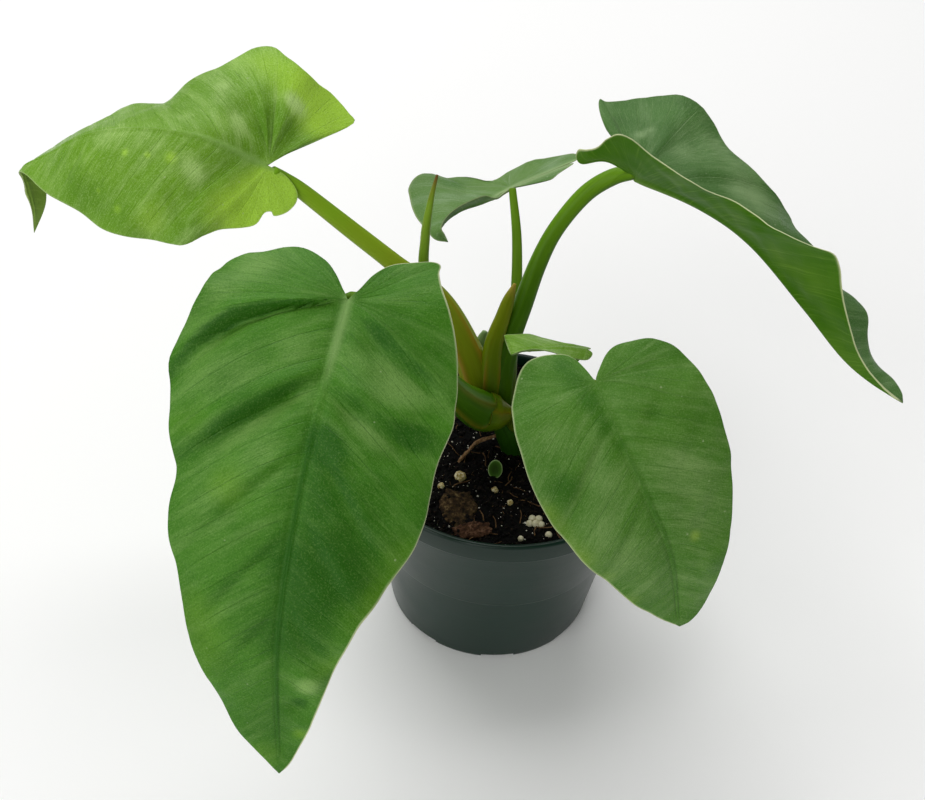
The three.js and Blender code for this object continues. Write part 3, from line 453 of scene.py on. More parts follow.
def surfaced(put, colour, roughness, relief=None, ior=1.5, specular=0.5):
    """Ends a material. Its relief is a height, how strongly it shows and how deep it is."""
    inputs = {"Base Color": colour, "Roughness": roughness, "IOR": ior,
              "Specular IOR Level": specular}
    if relief:
        inputs["Normal"] = put("bump", *relief)
    shader = put("ShaderNodeBsdfPrincipled", inputs)
    put("ShaderNodeOutputMaterial", shader)


def waxed_leaf(name, margin, deep, fresh, bloom_and_sheen, yellow, rib, rough=0.4, lines_in=None,
               streaks_by=0.3):
    """The upper face of a leaf: a waxy skin with a fine grain, short streaks along its side
    veins, greyish waxy patches, a midrib, an edge, yellower places, and a painted highlight
    where the leaf would catch the light and painted shade where it would not, along its folds
    and in its midrib's groove. The grain and the streaks are half a millimetre wide, as fine
    as still shows."""
    material, put, place = new_material(name)
    veins = put("ShaderNodeUVMap", uv_map="veins")
    midrib, edge, tint, sheen, fade, count = (
        put("attribute", attribute_name=key)
        for key in ("midrib", "edge_line", "yellowed", "sheen", "side_vein", "vein_count"))
    fine = put("noise", put("stretch", veins, (16.0, 190.0, 1.0)), 1.0, 3.0, 0.65)
    broad = put("noise", put("stretch", veins, (2.6, 16.0, 1.0)), 1.0, 3.0)
    cloud = put("noise", place, 30.0, 3.0)
    grain = put("noise", place, 1500.0, 2.0, 0.6)
    noisy = put("MULTIPLY_ADD", cloud, 0.4, tint)
    streaks_and_sheen = put("MULTIPLY_ADD", put("SUBTRACT", fine, 0.5), 2 * streaks_by, sheen)
    dots = put("ShaderNodeTexVoronoi", {"Vector": place, "Scale": 90.0}, out="Distance")
    wander = put("MULTIPLY_ADD", broad, 0.12, count)
    main = put("step", put("PINGPONG", wander, 0.5), 0.035, 0.0)
    finer = put("PINGPONG", put("MULTIPLY", wander, 3.0), 0.5)
    lines = put("MULTIPLY_ADD", put("step", finer, 0.08, 0.0), 0.35, main)
    lines = put("MULTIPLY", lines, put("MULTIPLY", fade, cloud))
    colour = coated(put, linear(deep), [
        (fresh, cloud, 0.3, 0.72, 1.0, 0.5), (bloom_and_sheen, broad, 0.42, 0.75, 0.3),
        (bloom_and_sheen, fine, 0.48, 0.72, 0.6 * streaks_by), (deep, fine, 0.5, 0.3, 0.7 * streaks_by),
        # painted highlight in the greyish tone where the sheen attribute is above nothing, painted
        # shade in deep green where it is below
        (yellow, noisy, 0.3, 1.15, 0.95), (bloom_and_sheen, streaks_and_sheen, 0.05, 1.1, 0.95),
        (deep, streaks_and_sheen, -0.05, -0.9, 0.85), ("#c9d6a8", dots, 0.055, 0.03, 0.3),
        (lines_in or deep, put("MULTIPLY", lines, 0.45)), (deep, grain, 0.5, 0.3, 0.3),
        (bloom_and_sheen, grain, 0.5, 0.7, 0.22), (deep, midrib, 0.0, -1.0, 1.0),
        (rib, midrib, 0.0, 1.0, 1.0), (margin, edge)])
    dimple = put("MULTIPLY_ADD", lines, -1.2, put("MULTIPLY_ADD", grain, 1.3, fine))
    gloss = put("step", broad, 0.2, 0.8, rough + 0.05, rough - 0.04)
    surfaced(put, colour, gloss, (dimple, 0.5, 0.5 * MM), 1.45, 0.16)
    return material


def leaf_underside(name, body, vein, margin):
    """The back of a leaf: duller than the front, with long pale streaks along its veins."""
    material, put, place = new_material(name)
    veins = put("ShaderNodeUVMap", uv_map="veins")
    midrib, edge = (put("attribute", attribute_name=key) for key in ("midrib", "edge_line"))
    fine = put("noise", put("stretch", veins, (3.0, 75.0, 1.0)), 1.0, 3.0, 0.6)
    cloud = put("noise", place, 30.0)
    colour = coated(put, linear(body), [
        (vein, fine, 0.5, 0.8, 0.5), (vein, cloud, 0.4, 0.8, 0.3),
        (vein, midrib, 0.0, 1.0, 1.0), (margin, edge)])
    bumps = put("MULTIPLY_ADD", fine, 0.8, put("noise", place, 900.0))
    surfaced(put, colour, 0.55, (bumps, 0.25, 0.6 * MM), 1.42, 0.15)
    return material


def green_stalk(name, foot, middle, top, shade_and_line_tone, turn=0.3):
    """The smooth skin of a leaf stalk: fine lines along it, and painted shade that darkens the
    side which faces down. Its colour runs from the foot's to the middle's and, from the turn on,
    to the top's.
    The thin edges with which it clasps the stem are reddish brown."""
    material, put, place = new_material(name)
    skin = put("ShaderNodeUVMap", uv_map="skin")
    rise, under, clasp = (put("attribute", attribute_name=key)
                          for key in ("rise", "under", "clasp"))
    fine = put("noise", put("stretch", skin, (3.0, 60.0, 1.0)), 1.0, 3.0)
    cloud = put("noise", place, 55.0)
    wander = put("MULTIPLY_ADD", put("SUBTRACT", cloud, 0.5), 0.25, rise)
    ramp = put("ShaderNodeValToRGB", wander,
               stops=[(0.0, foot), (turn, middle), (1.0, top)])
    colour = coated(put, ramp, [
        # painted shade on the side that faces down, then light and dark fine lines along the stalk
        (shade_and_line_tone, under, 0.35, 0.95, 0.75), (top, fine, 0.5, 0.8, 0.35),
        (shade_and_line_tone, fine, 0.5, 0.25, 0.35), ("#ac7428", put("MULTIPLY", clasp, 0.7))])
    surfaced(put, colour, 0.45, (fine, 0.3, 0.5 * MM), 1.45, 0.12)
    return material


def rough_matter(name, grain, depth, roughness, *tones):
    """Dry, broken matter such as peat, bark or a root: blotches of its tones at one grain size
    in millimetres, and a bump of the same grain."""
    material, put, place = new_material(name)
    coarse = put("noise", place, 1 / (grain * MM), 6.0, 0.65)
    ramp = put("ShaderNodeValToRGB", coarse, stops=tones)
    surfaced(put, ramp, roughness, (coarse, 0.6, depth * MM), specular=0.15)
    return material


def moulded_polypropylene(name, body, worn):
    """Injection moulded polypropylene: a satin skin with a fine eggshell grain, faint rings
    from the mould and a little dust that dulls it in places."""
    material, put, place = new_material(name)
    cloud = put("noise", place, 22.0, 4.0)
    rings = put("noise", put("stretch", place, (6.0, 6.0, 420.0)), 1.0)
    colour = coated(put, body, [(worn, cloud, 0.4, 0.75, 0.35), (worn, rings, 0.55, 0.8, 0.2)])
    height = put("MULTIPLY_ADD", rings, 0.5, put("noise", place, 1400.0))
    gloss = put("step", cloud, 0.3, 0.75, 0.3, 0.42)
    surfaced(put, colour, gloss, (height, 0.12, 0.3 * MM), 1.49, 0.35)
    return material


# Shape helpers


def along(points, place):
    """The points of a smooth curve through the given ones; place counts them from 0."""
    points = np.asarray(points, float)
    last = len(points) - 1
    padded = np.vstack([2 * points[0] - points[1], points, 2 * points[-1] - points[-2]])
    place = np.clip(np.asarray(place, float), 0, last)
    knot = np.minimum(place.astype(int), last - 1)
    w = (place - knot)[..., None]
    p0, p1, p2, p3 = (padded[knot + i] for i in range(4))
    return ((2 * w**3 - 3 * w**2 + 1) * p1 + (w**3 - 2 * w**2 + w) * 0.5 * (p2 - p0)
            + (3 * w**2 - 2 * w**3) * p2 + (w**3 - w**2) * 0.5 * (p3 - p1))


def heading(points, place):
    """The direction of that curve."""
    return unit(along(points, place + 1e-3) - along(points, place - 1e-3))


def unit(vectors):
    """Vectors of the same direction, one long."""
    return vectors / np.maximum(np.linalg.norm(vectors, axis=-1, keepdims=True), 1e-12)


def square_to(tangent, vectors):
    """The nearest directions to some vectors that stand square to a tangent."""
    return unit(vectors - tangent * (vectors * tangent).sum(-1, keepdims=True))


def lengths_of(points):
    """How far along a line each of its points lies."""
    steps = np.linalg.norm(np.diff(points, axis=0), axis=1)
    return np.concatenate([[0], np.cumsum(steps)])


def smooth(value, low, high):
    """A smooth step of an array between two limits."""
    t = np.clip((value - low) / (high - low), 0, 1)
    return t * t * (3 - 2 * t)


def hump(value, width=1.0):
    """1 where a value is nothing, and smoothly less beyond a width."""
    return np.exp(-((value / width) ** 2))


def ring_faces(first, second, count, flip=False):
    """Faces between two rings of points, given the number of each ring's first point."""
    faces = []
    for j in range(count):
        k = (j + 1) % count
        corner, *others = (first + j, second + j, second + k, first + k)
        faces.append([corner, *(others[::-1] if flip else others)])
    return faces


def fan_faces(middle, first, count, flip=False):
    """Triangles from a middle point to the points of a ring."""
    pairs = [(first + j, first + (j + 1) % count) for j in range(count)]
    return [[middle, *(pair[::-1] if flip else pair)] for pair in pairs]


def circle(radius, height, count, turn=0.0):
    """Points round the pot's axis, turned by a share of one step."""
    angles = [2 * math.pi * (j + turn) / count for j in range(count)]
    return [(radius * math.cos(a), radius * math.sin(a), height) for a in angles]


class BentSheet:
    """Bends a flat blade, given along and across its midrib, on to its midrib's curve."""

    def __init__(self, leaf):
        self.leaf = leaf
        self.last = len(leaf["spine"]) - 1
        self.places = np.linspace(0, self.last, CURVE_STEPS * self.last + 1)
        self.lengths = lengths_of(along(leaf["spine"], self.places))
        self.behind = self.lengths[CURVE_STEPS]
        self.length = self.lengths[-1] - self.behind

    def of(self, key, t):
        """What the leaf says of a property at places of its midrib."""
        return along(self.leaf[key], t * (len(self.leaf[key]) - 1) / self.last)

    def at(self, side, run, across, height):
        """The point of the sheet there, lifted off it by a height."""
        run, across, height = np.broadcast_arrays(*(np.asarray(v, float)
                                                    for v in (run, across, height)))
        distance = np.clip(run + self.behind, 0, self.lengths[-1])
        t = np.interp(distance, self.lengths, self.places)
        tangent = heading(self.leaf["spine"], t)
        origin = self.of("spine", t) + tangent * (run + self.behind - distance)[..., None]
        up = square_to(tangent, self.of("face", t))
        out = np.cross(tangent, up)
        half = 1 if side == "right" else 0
        sign = 2 * half - 1
        tilt = np.radians(self.of("lift", t)[..., half])
        bend = math.radians(self.leaf["curl"][half]) / CURL_OVER or 1e-6
        end = tilt + bend * across
        reach = sign * (np.sin(end) - np.sin(tilt)) / bend
        rise = -(np.cos(end) - np.cos(tilt)) / bend
        lean = end * np.minimum(1, across / FLAT_BY_RIB)
        normal = up * np.cos(lean)[..., None] - out * (sign * np.sin(lean))[..., None]
        point = origin + out * reach[..., None] + up * rise[..., None] \
            + normal * height[..., None]
        hang_side, hang_run, hang_across, width, shift = self.leaf.get("hang", (None,) * 5)
        if hang_side == side:
            far = np.hypot(run - hang_run, across - hang_across)
            point = point + hump(far, width)[..., None] * np.array(shift)
        return point


def vein_lines(outline, length, fan, stations):
    """Where each side vein starts on the midrib and ends on the edge, and its number: less
    than nothing for those that fan out into the lobe, up to 1 at the tip."""
    outline = np.array(outline, float)
    knots = np.linspace(0, len(outline) - 1, CURVE_STEPS * (len(outline) - 1) + 1)
    edge = along(outline, knots)
    start = edge[:, 0] - VEIN_LEAN * edge[:, 1]
    lobe = np.where(start < 0)[0].max()
    fan_shares = np.arange(fan) / fan
    from_midrib = length * LAST_VEIN * np.arange(stations) / stations
    rising = np.maximum.accumulate(start[lobe:]) + 1e-6 * np.arange(len(start) - lobe)
    station_knots = np.interp(from_midrib, rising, knots[lobe:])
    ends = along(outline, np.concatenate([knots[lobe] * fan_shares, station_knots]))
    ends[:, 1] = np.maximum(ends[:, 1], 0)
    starts = np.concatenate([np.zeros(fan), from_midrib])
    return starts, ends, np.concatenate([fan_shares - 1, from_midrib / length])


def folds_at(name, side, number, share):
    """For each fold: how many of its widths every point lies from it, its depth, and how much
    of it there is at the point."""
    for at, drift, sag, width, depth, begin, end in FOLDS[name][side]:
        middle = at + drift * share + 4 * sag * share * (1 - share)
        reach = smooth(share, begin - 0.08, begin + 0.25)
        reach = reach * (1 - 0.55 * smooth(share, end - 0.35, end))
        yield (number - middle) / (width * (0.5 + 0.8 * share)), depth, reach


def fold_shades(name, side, number, share):
    """The painted highlight where a furrow rises again and the painted shade where it falls: how
    much paler or darker each point is painted.
    """
    shade = np.zeros(number.shape)
    for x, depth, reach in folds_at(name, side, number, share):
        falling = hump(x + 0.6, 0.65) * (1 - smooth(x, -0.15, 0.1))
        rising = hump(x - 0.5, 0.9) * smooth(x, -0.1, 0.25)
        shade += 0.25 * depth * reach * (0.4 * rising - falling)
    return shade


def wrinkles(name, side, number, share, run, across, length):
    """How far the blade's folds, veins and puckers lift each point off its plain sheet."""
    lifted = np.zeros(np.broadcast(share, run).shape)
    for x, depth, reach in folds_at(name, side, number, share):
        # A fold falls steeply on the side of the leaf's foot, behind a low swelling.
        steep = hump(x, np.where(x < 0, 0.5, 1.5))
        lifted += depth * (0.6 * hump(x + 1.4, 0.8) - steep) * reach
    # A fine groove runs along each side vein.
    veins = np.cos(2 * np.pi * number * vein_total(length))
    fade = smooth(share, 0.03, 0.2) * (1 - 0.7 * smooth(share, 0.75, 1))
    lifted -= 0.2 * np.maximum(0, veins) ** 12 * fade
    sign = -1 if side == "left" else 1
    for bulge_run, bulge_across, radius, height in BULGES.get(name, []):
        if bulge_across * sign > 0:
            away = across - abs(bulge_across)
            lifted += height * hump(np.hypot(run - bulge_run, away), radius)
    # The midrib lies in a groove, with a thin groove along the rib on each side.
    sunk, wide = MIDRIBS[name][:2]
    ends = smooth(run, -4, 6) * (1 - smooth(run, 0.9 * length, length))
    lifted -= sunk * ends * np.exp(-((across / wide) ** 1.5))
    rib = 2.4 * (1 - 0.75 * np.clip(run / length, 0, 1))
    lifted -= 0.35 * ends * hump(across / rib - 1.0, 0.2 ** 0.5)
    # Small puckers all over, away from the midrib.
    seed = 3.7 * len(name) + (11.0 if side == "left" else 0.0)
    ripple = np.sin(run * 0.21 + seed) * np.cos(across * 0.27 + 1.7 * seed) \
        + 0.6 * np.sin(run * 0.47 + across * 0.33 + seed)
    return lifted + 0.2 * ripple * smooth(across, 3, 12)


def vein_total(length):
    """How many side veins each half of a blade has."""
    return max(4, round(length / VEIN_GAP))


def build_mesh(name, points, faces, materials, smooth_faces=True):
    """A mesh object from points in millimetres and faces given by point numbers."""
    mesh = bpy.data.meshes.new(name)
    mesh.from_pydata((np.asarray(points) * MM).tolist(), [], faces)
    for material in materials:
        mesh.materials.append(material)
    mesh.polygons.foreach_set("use_smooth", np.broadcast_to(smooth_faces, len(faces)).copy())
    mesh.update()
    piece = bpy.data.objects.new(name, mesh)
    bpy.context.scene.collection.objects.link(piece)
    return piece


def store(mesh, **attributes):
    """Keeps numbers for each point, for the materials to read."""
    for name, values in attributes.items():
        layer = mesh.attributes.new(name, "FLOAT", "POINT")
        layer.data.foreach_set("value", np.asarray(values, np.float32))


def store_map(mesh, name, u, v):
    """Keeps a flat map of the surface, from two lengths in millimetres for each point."""
    corners = np.empty(len(mesh.loops), np.int32)
    mesh.loops.foreach_get("vertex_index", corners)
    flat = np.stack([np.asarray(u)[corners], np.asarray(v)[corners]], axis=1) / MAP_UNIT
    mesh.uv_layers.new(name=name).data.foreach_set("uv", flat.astype(np.float32).ravel())


def finish(piece, *nodes, slot=None):
    """Lets a piece ride on the plant and stand for its CAD nodes."""
    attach(piece, "root")
    if nodes:
        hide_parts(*nodes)


def blade_shape(name, thickness, waves):
    """The points of one blade, its faces and their kinds (0 above, 1 below, 2 the rim), what
    the materials read at each point, and the length of its midrib."""
    leaf = LEAVES[name]
    sheet = BentSheet(leaf)
    length = sheet.length
    fan, stations, rows = FINENESS[name]
    middle = stations + 1
    # from the midrib to the edge, closest at both ends
    shares = np.concatenate([[0, 0.012, 0.026, 0.042, 0.062, 0.09],
                             np.linspace(0.12, 0.955, rows), [0.975, 0.99, 1.0]])
    kept = []

    def keep(points, *values):
        values = [np.broadcast_to(value, points.shape[:-1])[..., None] for value in values]
        kept.append(np.concatenate([points, *values], axis=-1).reshape(-1, 9))

    midrib = np.append(length * LAST_VEIN * np.arange(stations) / stations, length)
    sunk = wrinkles(name, "right", midrib / length, 0.0, midrib, 0.0, length)
    for under in (0, 1):
        keel = under * KEEL * (1 - KEEL_TAPER * midrib / length) * (midrib < length)
        points = sheet.at("right", midrib, 0.0, thickness * (0.5 - under) - keel + sunk)
        keep(points, midrib, 0, FAR_INSIDE, midrib / length, 0, 0)
    faces, kinds = [], []
    for side, sign in (("left", -1), ("right", 1)):
        starts, ends, numbers = vein_lines(leaf[side], length, fan, stations)
        share = shares[1:][None, :]
        run = starts[:, None] + (ends[:, :1] - starts[:, None]) * share ** 1.2
        across = ends[:, 1:] * share
        number = numbers[:, None] + 0 * share
        share = share + 0 * run
        height, wave_length, phase = leaf["wave"]
        turn = 2 * np.pi * ends[:, :1] / wave_length + phase + (1 - sign)
        wavy = waves * height * np.minimum(1, ends[:, 1:] / WAVE_FADE) * share ** 2
        lifted = wavy * np.sin(turn) + wrinkles(name, side, number, share, run, across, length)
        gap = np.hypot(ends[:, :1] - run, ends[:, 1:] - across)
        # the painted highlight and painted shade of the folds, for the colour
        fold = fold_shades(name, side, number, share)
        index = np.empty((2, fan + middle, len(shares)), int)
        for under in (0, 1):
            rim = thickness * (1 - RIM_THIN * smooth(share, 0.9, 1.0))
            keel = under * hump(across, KEEL_WIDTH) * (run > -1)
            keel = keel * (1 - KEEL_TAPER * np.clip(run / length, 0, 1))
            first = sum(len(block) for block in kept)
            keep(sheet.at(side, run, across, lifted + rim * (0.5 - under) - keel),
                 run, across, gap, number, sign, fold)
            index[under] = under * middle
            index[under, fan:, 0] += np.arange(middle)
            index[under, -1] += stations * (np.arange(len(shares)) > 0)
            index[under, :-1, 1:] = first + np.arange(run.size).reshape(run.shape)
        for under, grid in enumerate(index):
            quads = np.stack([grid[:-1, :-1], grid[:-1, 1:], grid[1:, 1:], grid[1:, :-1]], -1)
            quads = quads.reshape(-1, 4)[:, ::-1 if (sign < 0) != (under == 1) else 1]
            faces += quads.tolist()
            kinds += [under] * len(quads)
        rim = np.concatenate([index[:, 0, :], index[:, 1:, -1]], axis=1)
        strip = np.stack([rim[0, :-1], rim[1, :-1], rim[1, 1:], rim[0, 1:]], -1)[:, ::sign]
        faces += strip.tolist()
        kinds += [2] * len(strip)
    faces = [list(dict.fromkeys(face)) for face in faces]
    whole = [i for i, face in enumerate(faces) if len(face) > 2]
    table = np.concatenate(kept)
    data = dict(zip(("run", "across", "edge", "number", "half", "fold"), table[:, 3:].T))
    return table[:, :3], [faces[i] for i in whole], np.array(kinds)[whole], data, length


def marks_at(marks, data):
    """The strength of a blade's marks at each of its points."""
    total = np.zeros(len(data["run"]))
    for run, across, radius, strength in marks:
        away = data["across"] * data["half"] - across
        total += strength * hump(np.hypot(data["run"] - run, away), radius)
    return total


def make_blade(name, upper, back, rim, thickness, waves):
    """One blade, in place of its CAD node."""
    points, faces, kinds, data, length = blade_shape(name, thickness, waves)
    piece = build_mesh(f"leaf_{name}", points, faces, [upper, back, rim], kinds < 2)
    piece.data.polygons.foreach_set("material_index", kinds.astype(np.int32))
    run, across, edge, number = (data[key] for key in ("run", "across", "edge", "number"))
    run_share = np.clip(run / length, 0, 1)
    _, wide, pale, dark, left_edge, right_edge = MIDRIBS[name]
    paleness = pale * (1 - smooth(run_share, 0.08, 0.36))
    painted_groove_shade = dark * smooth(run_share, 0.1, 0.3) * (1 - 0.6 * smooth(run_share, 0.8, 1))
    # pale near the stalk, and from there on a dark line of painted shade in the midrib's groove
    line = 0.45 * (hump(across, 1.2) + hump(across, 0.9 * wide)) * (number >= 0)
    edge_share = np.where(data["half"] < 0, left_edge, right_edge) * (number > -0.97)
    store(piece.data,
          midrib=hump(across, 2.6 * (1 - 0.8 * run_share)) * paleness - line * painted_groove_shade,
          edge_line=edge_share * (1 - smooth(edge, 0.15, 0.7)),
          yellowed=marks_at(YELLOWED[name], data),
          # painted highlight above nothing and painted shade below: the listed marks and the
          # folds' shading
          sheen=marks_at(PAINTED_SHEEN_AND_SHADE[name], data) + data["fold"],
          vein_count=number * vein_total(length),
          side_vein=smooth(across, 1, 6) * smooth(edge, 1, 14))
    from_root = np.hypot(run - np.maximum(number, 0) * length, across)
    spread = number * np.where(number < 0, LOBE_MAP, length) + HALF_MAP * (data["half"] > 0)
    store_map(piece.data, "veins", from_root, spread)
    finish(piece, f"blade_{name}")


def make_tube(name, path, radii, material, nodes, steps=70, sides=36, section=None, clasping=0.0):
    """A stalk, shoot or root with domed ends, in place of its CAD nodes. Its frame doesn't
    twist. section may change its radius by place and angle."""
    fine = np.linspace(0, len(path) - 1, TUBE_STEPS * (len(path) - 1) + 1)
    lengths = lengths_of(along(path, fine))
    places = np.interp(np.linspace(0, lengths[-1], steps + 1), lengths, fine)
    centres = along(path, places)
    widths = along(np.array(radii, float)[:, None], places)
    tangents = heading(path, places)
    level = np.abs(tangents[:, 2:3])
    up = square_to(tangents, np.array([0.0, 0.0, 1.0]) * (1 - level)
                   + np.array([0.25, -0.9, 0.0]) * level)
    out = np.cross(tangents, up)
    angles = 2 * np.pi * np.arange(sides)[None, :] / sides
    share = np.linspace(0, 1, steps + 1)[:, None]
    radius = widths * (section(share, angles) if section else np.ones(sides))
    ring = up[:, None, :] * np.cos(angles)[..., None] + out[:, None, :] * np.sin(angles)[..., None]
    points = (centres[:, None, :] + ring * radius[..., None]).reshape(-1, 3)
    domes = [centres[i] + unit(centres[i] - centres[j]) * widths[i] * DOME
             for i, j in ((0, 1), (-1, -2))]
    faces = [face for i in range(steps)
             for face in ring_faces(i * sides, (i + 1) * sides, sides, flip=True)]
    faces += fan_faces(len(points), 0, sides, flip=True)
    faces += fan_faces(len(points) + 1, steps * sides, sides)
    piece = build_mesh(name, np.vstack([points, domes]), faces, [material])
    rise = np.append(np.repeat(share, sides), [0, 1])
    # how far each point faces down, which the stalk's material turns into painted shade
    under = np.append(0.5 - 0.5 * ring[..., 2], [0.5, 0.5])
    around = np.append(np.tile(np.minimum(angles, 2 * np.pi - angles)[0], steps + 1), [0, 0])
    edge = hump(around - CLASP_AT, 0.17) * (1 - smooth(rise, 0.22, 0.5))
    store(piece.data, clasp=clasping * edge, rise=rise, under=under)
    store_map(piece.data, "skin", rise * lengths[-1], around * np.mean(radii))
    if nodes:
        finish(piece, *nodes)
    return piece


def ball():
    """Points and faces of a ball of radius 1."""
    shape = bmesh.new()
    bmesh.ops.create_icosphere(shape, subdivisions=BALL_STEPS, radius=1.0)
    points = [vertex.co.copy() for vertex in shape.verts]
    faces = [[vertex.index for vertex in face.verts] for face in shape.faces]
    shape.free()
    return points, faces


def joined(name, pieces):
    """Makes one piece of several."""
    bpy.ops.object.select_all(action="DESELECT")
    for piece in pieces:
        piece.select_set(True)
    bpy.context.view_layer.objects.active = pieces[0]
    bpy.ops.object.join()
    pieces[0].name = name
    return pieces[0]


def node_group(name, **inputs):
    """A Geometry Nodes tree with a geometry socket and named inputs, with defaults, what adds
    its nodes, and its inputs."""
    tree = bpy.data.node_groups.new(name, "GeometryNodeTree")
    for way in ("INPUT", "OUTPUT"):
        tree.interface.new_socket("Geometry", in_out=way, socket_type="NodeSocketGeometry")
    for label, value in inputs.items():
        kind = "NodeSocketInt" if isinstance(value, int) else "NodeSocketFloat"
        tree.interface.new_socket(label, in_out="INPUT", socket_type=kind).default_value = value
    return tree, partial(add, tree), tree.nodes.new("NodeGroupInput").outputs


def grown(piece, tree, shape, material, **values):
    """Ends a Geometry Nodes tree in real mesh with a material, puts it on a piece with its
    inputs set by their identifiers, and turns the result into plain mesh."""
    whole = add(tree, "GeometryNodeRealizeInstances", shape)
    painted = add(tree, "GeometryNodeSetMaterial", {"Geometry": whole, "Material": material})
    tree.links.new(painted, tree.nodes.new("NodeGroupOutput").inputs[0])
    modifier = piece.modifiers.new(tree.name, "NODES")
    modifier.node_group = tree
    for item in tree.interface.items_tree:
        if item.in_out == "INPUT" and item.name in values:
            modifier[item.identifier] = values[item.name]
    view = bpy.context.evaluated_depsgraph_get()
    mesh = bpy.data.meshes.new_from_object(piece.evaluated_get(view))
    piece.modifiers.clear()
    piece.data = mesh
    mesh.name = piece.name


def soil_height(x, y):
    """Height of the soil's low mounds, the same rule as in the part's source."""
    mounds = np.sin(x * 0.21 + 1.3) * np.cos(y * 0.17 + 0.4) + 0.6 * np.sin(x * 0.53 + y * 0.41)
    return float(SOIL_TOP + 0.7 * mounds)


# What a user would change. The colours and the widths are set up alike.
COLOUR = {"subtype": "COLOR", "size": 4, "min": 0, "max": 1}
WIDTH = {"subtype": "DISTANCE", "unit": "LENGTH", "min": 0.0001}


class PotSettings(bpy.types.PropertyGroup):
    body: bpy.props.FloatVectorProperty(
        name="Plastic", description="Colour of the moulded pot", default=linear("#062419"),
        **COLOUR)
    worn: bpy.props.FloatVectorProperty(
        name="Dusty plastic", description="Colour where dust and handling dull the pot",
        default=linear("#1a382e"), **COLOUR)
    sides: bpy.props.IntProperty(
        name="Sides", description="How finely the pot is turned", default=192, min=48)
    channels: bpy.props.IntProperty(
        name="Drain channels", description="Channels under the base", default=8, min=3)
    channel_width: bpy.props.FloatProperty(
        name="Channel width", description="Width of a drain channel", default=0.018, **WIDTH)


class LeafSettings(bpy.types.PropertyGroup):
    thickness: bpy.props.FloatProperty(
        name="Thickness", description="Thickness of a blade", default=0.0006, **WIDTH)
    waves: bpy.props.FloatProperty(
        name="Edge waves", description="How strongly the edges wave", default=1.0, min=0,
        subtype="FACTOR")
    margin: bpy.props.FloatVectorProperty(
        name="Edge", description="Colour of the thin cream edge", default=linear("#d6dcae"),
        **COLOUR)


class SoilSettings(bpy.types.PropertyGroup):
    crumbs: bpy.props.FloatProperty(
        name="Crumbs", description="Crumbs of peat on each square metre", default=360000, min=0)
    specks: bpy.props.FloatProperty(
        name="Perlite specks", description="Small white specks on each square metre",
        default=60000, min=0)
    twigs: bpy.props.FloatProperty(
        name="Fibres", description="Short fibres and twigs on each square metre", default=16000,
        min=0)
    crumb_size: bpy.props.FloatProperty(
        name="Crumb size", description="Width of a usual crumb", default=0.0011, **WIDTH)
    seed: bpy.props.IntProperty(name="Seed", description="Changes how they lie", default=5)


class StageSettings(bpy.types.PropertyGroup):
    floor: bpy.props.FloatVectorProperty(
        name="Floor", description="Colour of the plain floor", default=linear("#fdfdfc"),
        **COLOUR)
    light: bpy.props.FloatProperty(
        name="Light", description="Power of the large soft light", default=88.0, min=0,
        unit="POWER")


SETTINGS = {"plant_pot": PotSettings, "plant_leaf": LeafSettings, "plant_soil": SoilSettings,
            "plant_stage": StageSettings}


# The pieces, one operator for each or for a group of like ones


class PLANT_OT_stage(bpy.types.Operator):
    """A plain pale floor, soft light from above and the photograph's camera"""

    bl_idname = "plant.stage"
    bl_label = "Stage"

    def execute(self, context):
        scene, settings = context.scene, context.scene.plant_stage
        scene.view_settings.view_transform = "Standard"
        scene.view_settings.look = "None"
        material, put, place = new_material("pale_paper")
        shade = put("MULTIPLY", put("noise", place, 3.0), 0.04)
        surfaced(put, coated(put, tuple(settings.floor), [("#e6e6e4", shade)]), 0.9)
        corners = [(x * FLOOR_HALF, y * FLOOR_HALF, 0)
                   for x, y in ((-1, -1), (1, -1), (1, 1), (-1, 1))]
        floor = build_mesh("floor", corners, [[0, 1, 2, 3]], [material])
        scene.world = bpy.data.worlds.new("studio")
        scene.world.use_nodes = True
        sky = scene.world.node_tree.nodes["Background"].inputs
        sky[0].default_value, sky[1].default_value = linear("#ffffff"), SKY
        for name, place, target, size, power in LAMPS:
            light = bpy.data.lights.new(name, "AREA")
            light.shape = "RECTANGLE"
            light.size, light.size_y = size, size * 0.8
            light.energy = settings.light * power
            lamp = bpy.data.objects.new(name, light)
            lamp.location = Vector(place) * MM
            way = Vector(target) * MM - lamp.location
            lamp.rotation_euler = way.to_track_quat("-Z", "Y").to_euler()
            scene.collection.objects.link(lamp)
        lens = bpy.data.cameras.new("camera")
        lens.sensor_fit = "HORIZONTAL"
        lens.lens = lens.sensor_width * CAMERA["focal_pixels"] / CAMERA["photo_width"]
        camera = bpy.data.objects.new("camera", lens)
        ahead, right = Vector(CAMERA["ahead"]).normalized(), Vector(CAMERA["right"])
        right = (right - ahead * right.dot(ahead)).normalized()
        turned = Matrix((right, right.cross(ahead), -ahead)).transposed().to_4x4()
        camera.matrix_world = Matrix.Translation(Vector(CAMERA["at"]) * MM) @ turned
        scene.collection.objects.link(camera)
        scene.camera = camera
        return {"FINISHED"}


